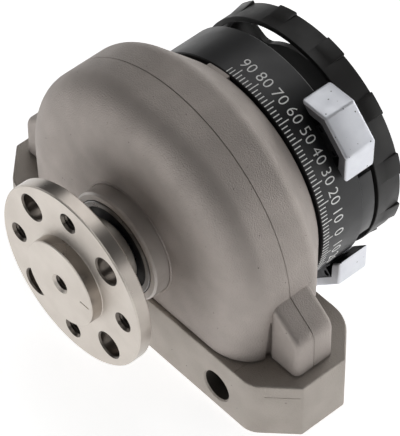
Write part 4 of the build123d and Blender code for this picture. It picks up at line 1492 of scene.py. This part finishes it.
@dataclass
class ScaleDrum:
    """The black drum with its bridge to the rear."""

    radius: float = 32.4
    seat_radius: float = 28.0
    seat_front: float = 51.2
    front: float = 51.8
    web_rear: float = 54.2
    rear: float = 65.3
    wall: float = 3.0
    bore_radius: float = 9.5
    edge: float = 0.25
    inner_edge: float = 0.15
    bridge_angle: float = 1.0
    bridge_half_angle: float = 19.0
    bridge_inner: float = 26.5
    bridge_outer: float = 31.9
    bridge_front: float = 60.3
    bridge_rear: float = 70.6
    bridge_step: float = 1.0
    bridge_edge: float = 0.25
    step_radius: float = 30.4
    step_margin: float = 0.3
    screw_pitch: float = 20.0
    screw_radius: float = 1.55
    screw_angles: tuple[float, ...] = (30.0, 150.0, 270.0)
    guard_screw_pitch: float = 28.7
    guard_screw_radius: float = 1.3
    guard_screw_start: float = 64.0
    guard_screw_angles: Point = (-11.0, 13.0)

    def turned_blank(self) -> Piece:
        """Turns the drum.

        Returns:
            The drum without its bridge and holes.
        """
        inner = self.radius - self.wall
        outline = [
            (self.bore_radius, self.seat_front),
            (self.seat_radius, self.seat_front),
            (self.seat_radius, self.front),
            (self.radius - self.edge, self.front),
            (self.radius, self.front + self.edge),
            (self.radius, self.rear - self.edge),
            (self.radius - self.edge, self.rear),
            (inner + self.inner_edge, self.rear),
            (inner, self.rear - self.inner_edge),
            (inner, self.web_rear),
            (self.bore_radius, self.web_rear),
        ]
        return Bench.lathe("scale_drum_turned", outline, steps=DRUM_STEPS)

    def bridge(self) -> Piece:
        """Makes the bridge that carries the guard, with a step for the guard's rim.

        Returns:
            The bridge.
        """
        inner, middle, half = self.bridge_inner, self.bridge_angle, self.bridge_half_angle
        sector = ring_sector(inner, self.bridge_outer, middle, half, 21)
        end = self.bridge_rear - self.bridge_step
        bridge = Bench.slab("drum_bridge", sector, Draft.ACROSS, self.bridge_front, end)
        Bench.soften(bridge, self.bridge_edge, 2)
        sector = ring_sector(inner, self.step_radius, middle, half - self.step_margin, 21)
        start = self.bridge_front + OVERSHOOT
        nose = Bench.slab("drum_bridge_nose", sector, Draft.ACROSS, start, self.bridge_rear)
        Bench.combine(bridge, nose, "UNION")
        return bridge

    def build(self) -> None:
        """Joins the bridge to the drum and drills the screw holes."""
        drum = self.turned_blank()
        Bench.combine(drum, self.bridge(), "UNION")
        for angle in self.screw_angles:
            span = (self.seat_front - OVERSHOOT, self.web_rear + OVERSHOOT)
            self.drill(drum, (self.screw_pitch, angle), self.screw_radius, span)
        for angle in self.guard_screw_angles:
            span = (self.guard_screw_start, self.bridge_rear + OVERSHOOT)
            self.drill(drum, (self.guard_screw_pitch, angle), self.guard_screw_radius, span)
        Fitting.dress(drum, DRUM_BLACK, "housing", "drum", ["scale_drum"])

    @staticmethod
    def drill(piece: Piece, place: Point, radius: float, span: Point) -> None:
        """Drills a hole along the shaft's direction.

        Args:
            piece: The piece.
            place: Distance of the hole from the shaft, and its scale angle.
            radius: Radius of the hole.
            span: Stations that it runs between.
        """
        pitch, angle = place
        tool = Bench.plug("drill", [(radius, span[0]), (radius, span[1])], DRILL_STEPS)
        Bench.move(tool, pitch, 0.0, 0.0)
        Bench.turn(tool, angle)
        Bench.combine(piece, tool, "DIFFERENCE")


@dataclass
class ScalePrint:
    """The white degree scale on the drum: a tick every two degrees and a number every ten."""

    radius: float = 32.4
    proud: float = 0.03
    sunk: float = 0.05
    start: float = 52.0
    short: float = 1.9
    long: float = 3.1
    tick_width: float = 0.28
    tick_step: int = 2
    first_angle: int = 94
    last_angle: int = -30
    number_step: int = 10
    first_number: int = 90
    last_number: int = -20
    number_station: float = 57.0
    number_height: float = 3.05
    font_scale: float = 1.42
    font_spacing: float = 1.08
    font_offset: float = -0.03

    def place(self, around: float, along: float, height: float) -> Vector:
        """Wraps a flat point onto the drum.

        Args:
            around: Distance along the circumference from the top, towards +X.
            along: Station along the shaft.
            height: Height over the drum's face.

        Returns:
            The point in metres.
        """
        angle = math.pi / 2 - around / self.radius
        reach = self.radius + height
        return Vector((reach * math.cos(angle), along, reach * math.sin(angle))) * MM

    def wrap(self, piece: Piece) -> None:
        """Bends a flat piece round the drum.

        Args:
            piece: The piece, drawn flat with X along the circumference.
        """
        for vertex in piece.data.vertices:
            flat = vertex.co / MM
            vertex.co = self.place(flat.x, flat.y, flat.z)

    def tick(self, angle: int) -> Piece:
        """Makes one raised tick.

        Args:
            angle: Its scale angle.

        Returns:
            The tick.
        """
        at_number = angle % self.number_step == 0 and angle <= self.first_number
        end = self.start + (self.long if at_number else self.short)
        around = math.radians(90 - angle) * self.radius
        half = self.tick_width / 2
        outline = [
            (around - half, self.start),
            (around + half, self.start),
            (around + half, end),
            (around - half, end),
        ]
        piece = Bench.slab(f"tick_{angle}", outline, Draft.PLAN, -self.sunk, self.proud)
        self.wrap(piece)
        return piece

    def number(self, angle: int) -> Piece:
        """Makes one raised number, with its top towards the rear.

        Args:
            angle: Its scale angle, which is also what it says.

        Returns:
            The number.
        """
        Bench.clear()
        bpy.ops.object.text_add()
        text = bpy.context.object
        text.name = f"number_{angle}"
        text.data.body = str(abs(angle))
        text.data.align_x = "CENTER"
        text.data.align_y = "CENTER"
        text.data.size = self.number_height * self.font_scale
        text.data.space_character = self.font_spacing
        text.data.resolution_u = 4
        text.data.extrude = (self.proud + self.sunk) / 2
        text.data.offset = self.font_offset
        bpy.ops.object.convert(target="MESH")
        piece = bpy.context.object
        around = math.radians(90 - angle) * self.radius
        level = (self.proud - self.sunk) / 2
        piece.data.transform(Matrix.Translation((around, self.number_station, level)))
        piece.data.transform(Matrix.Scale(MM, 4))
        bpy.ops.object.mode_set(mode="EDIT")
        bpy.ops.mesh.select_all(action="SELECT")
        bpy.ops.mesh.remove_doubles(threshold=1e-7)
        bpy.ops.object.mode_set(mode="OBJECT")
        self.wrap(piece)
        return piece

    def build(self) -> None:
        """Prints the whole scale as one piece."""
        ticks = range(self.first_angle, self.last_angle - 1, -self.tick_step)
        numbers = range(self.first_number, self.last_number - 1, -self.number_step)
        marks = [self.tick(angle) for angle in ticks] + [self.number(angle) for angle in numbers]
        scale = Bench.gather("scale_print", marks)
        Fitting.dress(scale, PRINT_WHITE, "housing", "drum")


@dataclass
class RearGuard:
    """The moulded wheel behind the stops, with twelve pads and four windows."""

    radius: float = 32.1
    rim: float = 1.5
    front: float = 70.6
    rear: float = 78.0
    web: float = 1.5
    web_corner: float = 0.5
    bore_radius: float = 6.0
    edge: float = 0.35
    front_edge: float = 0.15
    pad_radius: float = 32.8
    pad_root: float = 0.1
    pad_ramp: float = 1.5
    pad_length: float = 4.7
    pad_half_angle: float = 5.3
    pad_edge: float = 0.22
    pad_count: int = 12
    pad_start: float = 15.0
    window_radii: Point = (21.3, 29.4)
    window_half_angle: float = 36.0
    window_start: float = 12.0
    window_rounding: float = 3.6
    window_reach: float = 0.5
    boss_inner: float = 26.5
    boss_angle: float = 1.0
    boss_half_angle: float = 19.0
    boss_edge: float = 0.2
    screw_pitch: float = 28.7
    screw_angles: Point = (-11.0, 13.0)
    screw_radius: float = 1.3
    head: Point = (1.8, 1.5)

    def window(self, index: int) -> Piece:
        """Makes the tool for one window, a ring sector with round corners.

        Args:
            index: Number of the window, which counts quarter turns.

        Returns:
            The tool.
        """
        inner, outer = self.window_radii
        rounding, half = self.window_rounding, self.window_half_angle
        near = math.degrees(rounding / inner)
        far = math.degrees(rounding / outer)
        outline = arc((0, 0), (outer, outer), -half + far, half - far, 25)
        for radius, side, start in ((outer, 1, 0), (inner, 1, 90), (inner, -1, 180), (outer, -1, 270)):
            inwards, share = (-1, far) if radius == outer else (1, near)
            turned = side * (half - share)
            angle = math.radians(turned)
            middle = radius + inwards * rounding
            centre = (middle * math.cos(angle), middle * math.sin(angle))
            outline += arc(centre, (rounding, rounding), turned + start, turned + start + 90, 7)[1:-1]
            if (radius, side) == (inner, 1):
                outline += arc((0, 0), (inner, inner), half - near, -half + near, 21)
        front = self.rear - self.web - self.window_reach
        tool = Bench.slab("window_tool", outline, Draft.ACROSS, front, self.rear + OVERSHOOT)
        Bench.turn(tool, self.window_start + 90.0 * index)
        return tool

    def pad(self) -> Piece:
        """Makes one pad on the +X side, with softened edges and a ramp at its front.

        Returns:
            The pad.
        """
        outline = ring_sector(self.radius - self.rim / 2, self.pad_radius, 0.0, self.pad_half_angle, 7)
        start = self.rear - self.pad_length
        piece = Bench.slab("guard_pad", outline, Draft.ACROSS, start, self.rear)
        Bench.soften(piece, self.pad_edge, 2, 60)
        low = self.radius - self.pad_root
        for vertex in piece.data.vertices:
            reach = math.hypot(vertex.co.x, vertex.co.z) / MM
            height = min(1.0, (vertex.co.y / MM - start) / self.pad_ramp)
            if reach > low:
                share = (low + (reach - low) * height) / reach
                vertex.co.x *= share
                vertex.co.z *= share
        return piece

    def turned_blank(self) -> Piece:
        """Turns the rim and the web.

        Returns:
            The wheel without its windows, pads and boss.
        """
        inner = self.radius - self.rim
        web_front = self.rear - self.web
        outline = [
            (self.bore_radius, self.rear),
            (self.bore_radius, web_front),
            (inner - self.web_corner, web_front),
            (inner, web_front - self.web_corner),
            (inner, self.front + self.front_edge),
            (inner + self.front_edge, self.front),
            (self.radius - self.front_edge, self.front),
            (self.radius, self.front + self.front_edge),
        ]
        outline += arc((self.radius - self.edge, self.rear - self.edge), (self.edge, self.edge), 0, 90, 4)
        return Bench.lathe("rear_guard_moulded", outline, steps=DRUM_STEPS)

    def build(self) -> None:
        """Opens the windows, joins the boss and the pads, and drills the screw holes."""
        guard = self.turned_blank()
        for index in range(4):
            Bench.combine(guard, self.window(index), "DIFFERENCE")
        outer = self.radius - self.rim / 2
        sector = ring_sector(self.boss_inner, outer, self.boss_angle, self.boss_half_angle, 21)
        boss = Bench.slab("guard_boss", sector, Draft.ACROSS, self.front, self.rear)
        Bench.soften(boss, self.boss_edge, 2)
        Bench.combine(guard, boss, "UNION")
        for index in range(self.pad_count):
            pad = self.pad()
            Bench.turn(pad, self.pad_start + 360.0 / self.pad_count * index)
            Bench.combine(guard, pad, "UNION")
        head_radius, head_depth = self.head
        behind = self.rear + OVERSHOOT
        for angle in self.screw_angles:
            place = (self.screw_pitch, angle)
            ScaleDrum.drill(guard, place, self.screw_radius, (self.front - OVERSHOOT, behind))
            ScaleDrum.drill(guard, place, head_radius, (self.rear - head_depth, behind))
        Fitting.dress(guard, GUARD_PLASTIC, "housing", "guard", ["rear_guard"])


@dataclass
class AdjustableStop:
    """One faceted silver cap with its leg, which clamps on the rear edge of the drum."""

    node: str
    angle: float
    # The tone painted on the front faces of the walls: shade on the upper stop, light on the lower one.
    front_finish: Finish
    crown_radius: float = 38.2
    foot_radius: float = 32.2
    crown_half_width: float = 5.6
    foot_half_width: float = 11.5
    wall: float = 2.5
    front: float = 59.75
    cavity_rear: float = 65.6
    rear: float = 69.5
    underside_radius: float = 32.7
    leg_radius: float = 22.5
    leg_half_angle: float = 3.2
    screw_reach: float = 34.5
    screw_spread: float = 3.2
    screw_head: Point = (1.95, 1.4)
    screw_radius: float = 0.85
    edge: float = 0.75
    inner_edge: float = 0.3
    edge_depth: float = 0.5
    coat_margin: float = 0.05

    def half_octagon(self, inset: float, drop: float) -> list[Point]:
        """Draws the cap's outline.

        Args:
            inset: How far it is drawn in on every side but the foot.
            drop: How far it is lengthened towards the shaft.

        Returns:
            Closed outline as X and Z.
        """
        corner = inset * math.tan(math.radians(45.0 / 2))
        slope = inset * math.sqrt(2)
        foot = self.foot_radius - drop
        crown = self.crown_radius - inset
        return [
            (foot, -self.foot_half_width + slope - drop),
            (crown, -self.crown_half_width + corner),
            (crown, self.crown_half_width - corner),
            (foot, self.foot_half_width - slope + drop),
        ]

    def leg(self) -> Piece:
        """Makes the leg that reaches down behind the drum.

        Returns:
            The leg.
        """
        outer = self.underside_radius + self.wall
        outline = ring_sector(self.leg_radius, outer, 0.0, self.leg_half_angle, 5)
        leg = Bench.slab("stop_leg", outline, Draft.ACROSS, self.cavity_rear, self.rear)
        Bench.soften(leg, self.inner_edge, 3)
        return leg

    def underside_tool(self) -> Piece:
        """Makes the tool for the curved underside that sits on the drum.

        Returns:
            The tool.
        """
        radius = self.underside_radius
        profile = [(radius, self.front - OVERSHOOT), (radius, self.rear + OVERSHOOT)]
        return Bench.plug("underside_tool", profile, DRUM_STEPS)

    def cavity_tool(self) -> Piece:
        """Makes the tool for the hollow that opens to the front.

        Returns:
            The tool.
        """
        outline = self.half_octagon(self.wall, OVERSHOOT)
        start = self.front - OVERSHOOT
        cavity = Bench.slab("cavity_tool", outline, Draft.ACROSS, start, self.cavity_rear)
        Bench.soften(cavity, self.inner_edge, 2)
        return cavity

    def on_front(self, centre: Vector, normal: Vector) -> bool:
        """Says by its normal alone whether a face is on the front edge of the walls."""
        return normal.y < -0.9

    def inside(self, centre: Vector, normal: Vector) -> bool:
        """Says whether a face is in the hollow.

        Args:
            centre: Centre of the face in millimetres.
            normal: Its normal.

        Returns:
            Whether it is one of the walls or the floor of the hollow.
        """
        deep = self.front + self.edge_depth < centre.y < self.cavity_rear + self.coat_margin
        below = centre.x < self.crown_radius - self.wall + self.coat_margin
        return deep and below and (normal.x < -0.2 or normal.y < -0.5 or normal.z * centre.z < 0)

    def build(self) -> None:
        """Casts the cap: a softened prism with a cavity, a curved underside and a leg."""
        outline = self.half_octagon(0.0, 0.0)
        cap = Bench.slab(f"{self.node}_cast", outline, Draft.ACROSS, self.front, self.rear)
        Bench.soften(cap, self.edge, 4)
        leg = self.leg()
        Bench.combine(cap, self.underside_tool(), "DIFFERENCE")
        Bench.combine(cap, self.cavity_tool(), "DIFFERENCE")
        Bench.combine(cap, leg, "UNION")
        head_radius, head_depth = self.screw_head
        holes = ((head_radius, self.rear - head_depth), (self.screw_radius, self.front))
        for side in (1, -1):
            for radius, start in holes:
                profile = [(radius, start), (radius, self.rear + OVERSHOOT)]
                tool = Bench.plug("stop_screw_tool", profile, DRILL_STEPS)
                Bench.move(tool, self.screw_reach, 0.0, side * self.screw_spread)
                Bench.combine(cap, tool, "DIFFERENCE")
        Fitting.dress(cap, SILVER_CAST, self.node, "stop", [self.node])
        # The front faces of the walls take this stop's painted tone, which is shade on the upper stop and
        # light on the lower one.
        Fitting.part_coat(cap, self.front_finish, self.on_front)
        # The walls and floor of the hollow are painted near black as shade.
        Fitting.part_coat(cap, STOP_HOLLOW_SHADE, self.inside)
        Bench.turn(cap, self.angle)


class Fittings:
    """The frame nodes that are shown as they are, each with its finish."""

    FINISHES: dict[str, Finish] = {
        # The jaws take the dark screw steel as painted shade inside the stops' hollows.
        "upper_stop_jaw": DARK_STEEL_AND_JAW_SHADE,
        "lower_stop_jaw": DARK_STEEL_AND_JAW_SHADE,
        "foot_screws": BRIGHT_STEEL,
        "stator_pins": BRIGHT_STEEL,
        "vane_key": BRIGHT_STEEL,
        "lever_key": BRIGHT_STEEL,
        "lever_washer": BRIGHT_STEEL,
        "housing_screws": DARK_STEEL_AND_JAW_SHADE,
        "drum_screws": DARK_STEEL_AND_JAW_SHADE,
        "guard_screws": DARK_STEEL_AND_JAW_SHADE,
        "flange_grub_screws": DARK_STEEL_AND_JAW_SHADE,
        "lever_screw": DARK_STEEL_AND_JAW_SHADE,
        "upper_stop_screws": DARK_STEEL_AND_JAW_SHADE,
        "lower_stop_screws": DARK_STEEL_AND_JAW_SHADE,
        "output_shaft": SHAFT_STEEL,
        "stop_lever": SHAFT_STEEL,
        "front_bearing_outer": BEARING_STEEL,
        "front_bearing_inner": BEARING_STEEL,
        "front_bearing_balls": BEARING_STEEL,
        "rear_bearing_outer": BEARING_STEEL,
        "rear_bearing_inner": BEARING_STEEL,
        "rear_bearing_balls": BEARING_STEEL,
        "housing_gasket": RUBBER,
        "shaft_seal": RUBBER,
        "stator_seal": RUBBER,
        "vane_seal": RUBBER,
        "upper_stop_buffer": RUBBER,
        "lower_stop_buffer": RUBBER,
        "vane": VANE_PLASTIC,
        "stator_segment": VANE_PLASTIC,
    }

    @classmethod
    def build(cls, nodes: dict[str, Piece]) -> None:
        """Dresses every frame node that stays shown.

        Args:
            nodes: The frame nodes by name.
        """
        for name, node in nodes.items():
            if not node.hide_render:
                Fitting.coat(node, cls.FINISHES[name])


@dataclass
class Studio:
    """The pale floor, the soft lights and the camera."""

    azimuth: float = 48.5642
    elevation: float = 48.3579
    roll: float = -0.5092
    focal_pixels: float = 3269.547
    origin_pixel: Point = (70.498, 276.710)
    centre_pixel: Point = (196.916, 213.841)
    distance: float = 777.05
    clip: Point = (0.01, 10.0)
    floor_level: float = -33.5
    floor_size: float = 8.0
    floor_glow: float = 0.8
    sky: tuple[Point, ...] = ((-1.0, 0.01), (0.2, 0.01), (0.4, 0.07), (1.0, 0.07))
    lamps: tuple[tuple[str, Place, Point, float], ...] = (
        ("front_softbox", (-100.0, -750.0, 90.0), (400.0, 260.0), 1.1),
        ("back_softbox", (150.0, 780.0, 50.0), (1000.0, 150.0), 1.5),
        ("top_softbox", (-340.0, 500.0, 860.0), (800.0, 800.0), 2.9),
        ("corner_softbox", (560.0, 420.0, 200.0), (420.0, 420.0), 0.65),
    )
    aim: Place = (0.0, 35.0, 0.0)

    def camera(self) -> None:
        """Places the camera of the photograph."""
        angles = (self.azimuth, self.elevation, self.roll)
        azimuth, elevation, roll = (math.radians(angle) for angle in angles)
        back = Vector(
            (
                math.sin(azimuth) * math.cos(elevation),
                -math.cos(azimuth) * math.cos(elevation),
                math.sin(elevation),
            )
        )
        level = Vector((math.cos(azimuth), math.sin(azimuth), 0.0))
        over = back.cross(level)
        right = level * math.cos(roll) + over * math.sin(roll)
        up = over * math.cos(roll) - level * math.sin(roll)
        aside = (self.origin_pixel[0] - self.centre_pixel[0]) * self.distance / self.focal_pixels
        below = -(self.origin_pixel[1] - self.centre_pixel[1]) * self.distance / self.focal_pixels
        position = -(right * aside + up * below - back * self.distance) * MM
        data = bpy.data.cameras.new("studio_camera")
        eye = bpy.data.objects.new("studio_camera", data)
        bpy.context.scene.collection.objects.link(eye)
        eye.matrix_world = Matrix.Translation(position) @ Matrix((right, up, back)).transposed().to_4x4()
        long_side = max(IMAGE_SIZE)
        data.sensor_fit = "AUTO"
        data.sensor_width = SENSOR_WIDTH
        data.lens = self.focal_pixels * SENSOR_WIDTH / long_side
        data.shift_x = (IMAGE_SIZE[0] / 2 - self.centre_pixel[0]) / long_side
        data.shift_y = (self.centre_pixel[1] - IMAGE_SIZE[1] / 2) / long_side
        data.clip_start, data.clip_end = self.clip
        bpy.context.scene.camera = eye

    def lights(self) -> None:
        """Hangs the softboxes, each turned to the actuator."""
        for name, place, size, power in self.lamps:
            data = bpy.data.lights.new(name, "AREA")
            data.shape = "RECTANGLE"
            data.size, data.size_y = size[0] * MM, size[1] * MM
            data.energy = power
            lamp = bpy.data.objects.new(name, data)
            bpy.context.scene.collection.objects.link(lamp)
            lamp.location = Vector(place) * MM
            direction = Vector(self.aim) - Vector(place)
            lamp.rotation_euler = direction.to_track_quat("-Z", "Y").to_euler()

    def surroundings(self) -> None:
        """Gives the surroundings a dim light that changes with the height over the horizon."""
        world = bpy.data.worlds.new("studio_surroundings")
        world.use_nodes = True
        nodes, links = world.node_tree.nodes, world.node_tree.links
        direction = nodes.new("ShaderNodeTexCoord")
        split = nodes.new("ShaderNodeSeparateXYZ")
        height = nodes.new("ShaderNodeMapRange")
        height.inputs["From Min"].default_value = -1.0
        ramp = nodes.new("ShaderNodeValToRGB")
        stops = ramp.color_ramp.elements
        while len(stops) < len(self.sky):
            stops.new(0.5)
        for stop, (level, light) in zip(stops, self.sky):
            stop.position = (level + 1) / 2
            stop.color = (light, light, light, 1.0)
        links.new(direction.outputs["Generated"], split.inputs["Vector"])
        links.new(split.outputs["Z"], height.inputs["Value"])
        links.new(height.outputs["Result"], ramp.inputs["Fac"])
        links.new(ramp.outputs["Color"], nodes["Background"].inputs["Color"])
        bpy.context.scene.world = world
        bpy.context.scene.view_settings.view_transform = "Standard"

    def floor(self) -> None:
        """Lays the pale floor that the foot stands on."""
        Bench.clear()
        place = (0.0, 0.0, self.floor_level * MM)
        bpy.ops.mesh.primitive_plane_add(size=self.floor_size, location=place)
        plane = bpy.context.object
        plane.name = "studio_floor"
        bpy.ops.object.transform_apply(location=True, rotation=True, scale=True)
        plane.data.materials.append(PALE_FLOOR.material())
        shader = plane.data.materials[0].node_tree.nodes["Principled BSDF"]
        shader.inputs["Emission Color"].default_value = (1.0, 1.0, 1.0, 1.0)
        shader.inputs["Emission Strength"].default_value = self.floor_glow

    def build(self) -> None:
        """Sets up the whole studio."""
        self.camera()
        self.lights()
        self.surroundings()
        self.floor()


def main() -> None:
    """Loads the frame, builds and dresses every piece, and sets up the studio."""
    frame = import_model()
    Bench.clear()
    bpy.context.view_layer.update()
    OutputFlange().build()
    ShaftSealing().build()
    Housing().build()
    MountingFoot().build()
    ScaleDrum().build()
    ScalePrint().build()
    RearGuard().build()
    # The third argument is the tone painted on each stop's front faces: shade on the upper stop, light on
    # the lower.
    AdjustableStop("upper_stop", 44.0, STOP_FRONT_SHADE).build()
    AdjustableStop("lower_stop", -46.5, LOW_STOP_FRONT_LIGHT).build()
    Fittings.build(frame["nodes"])
    Studio().build()


if __name__ == "__main__":
    main()
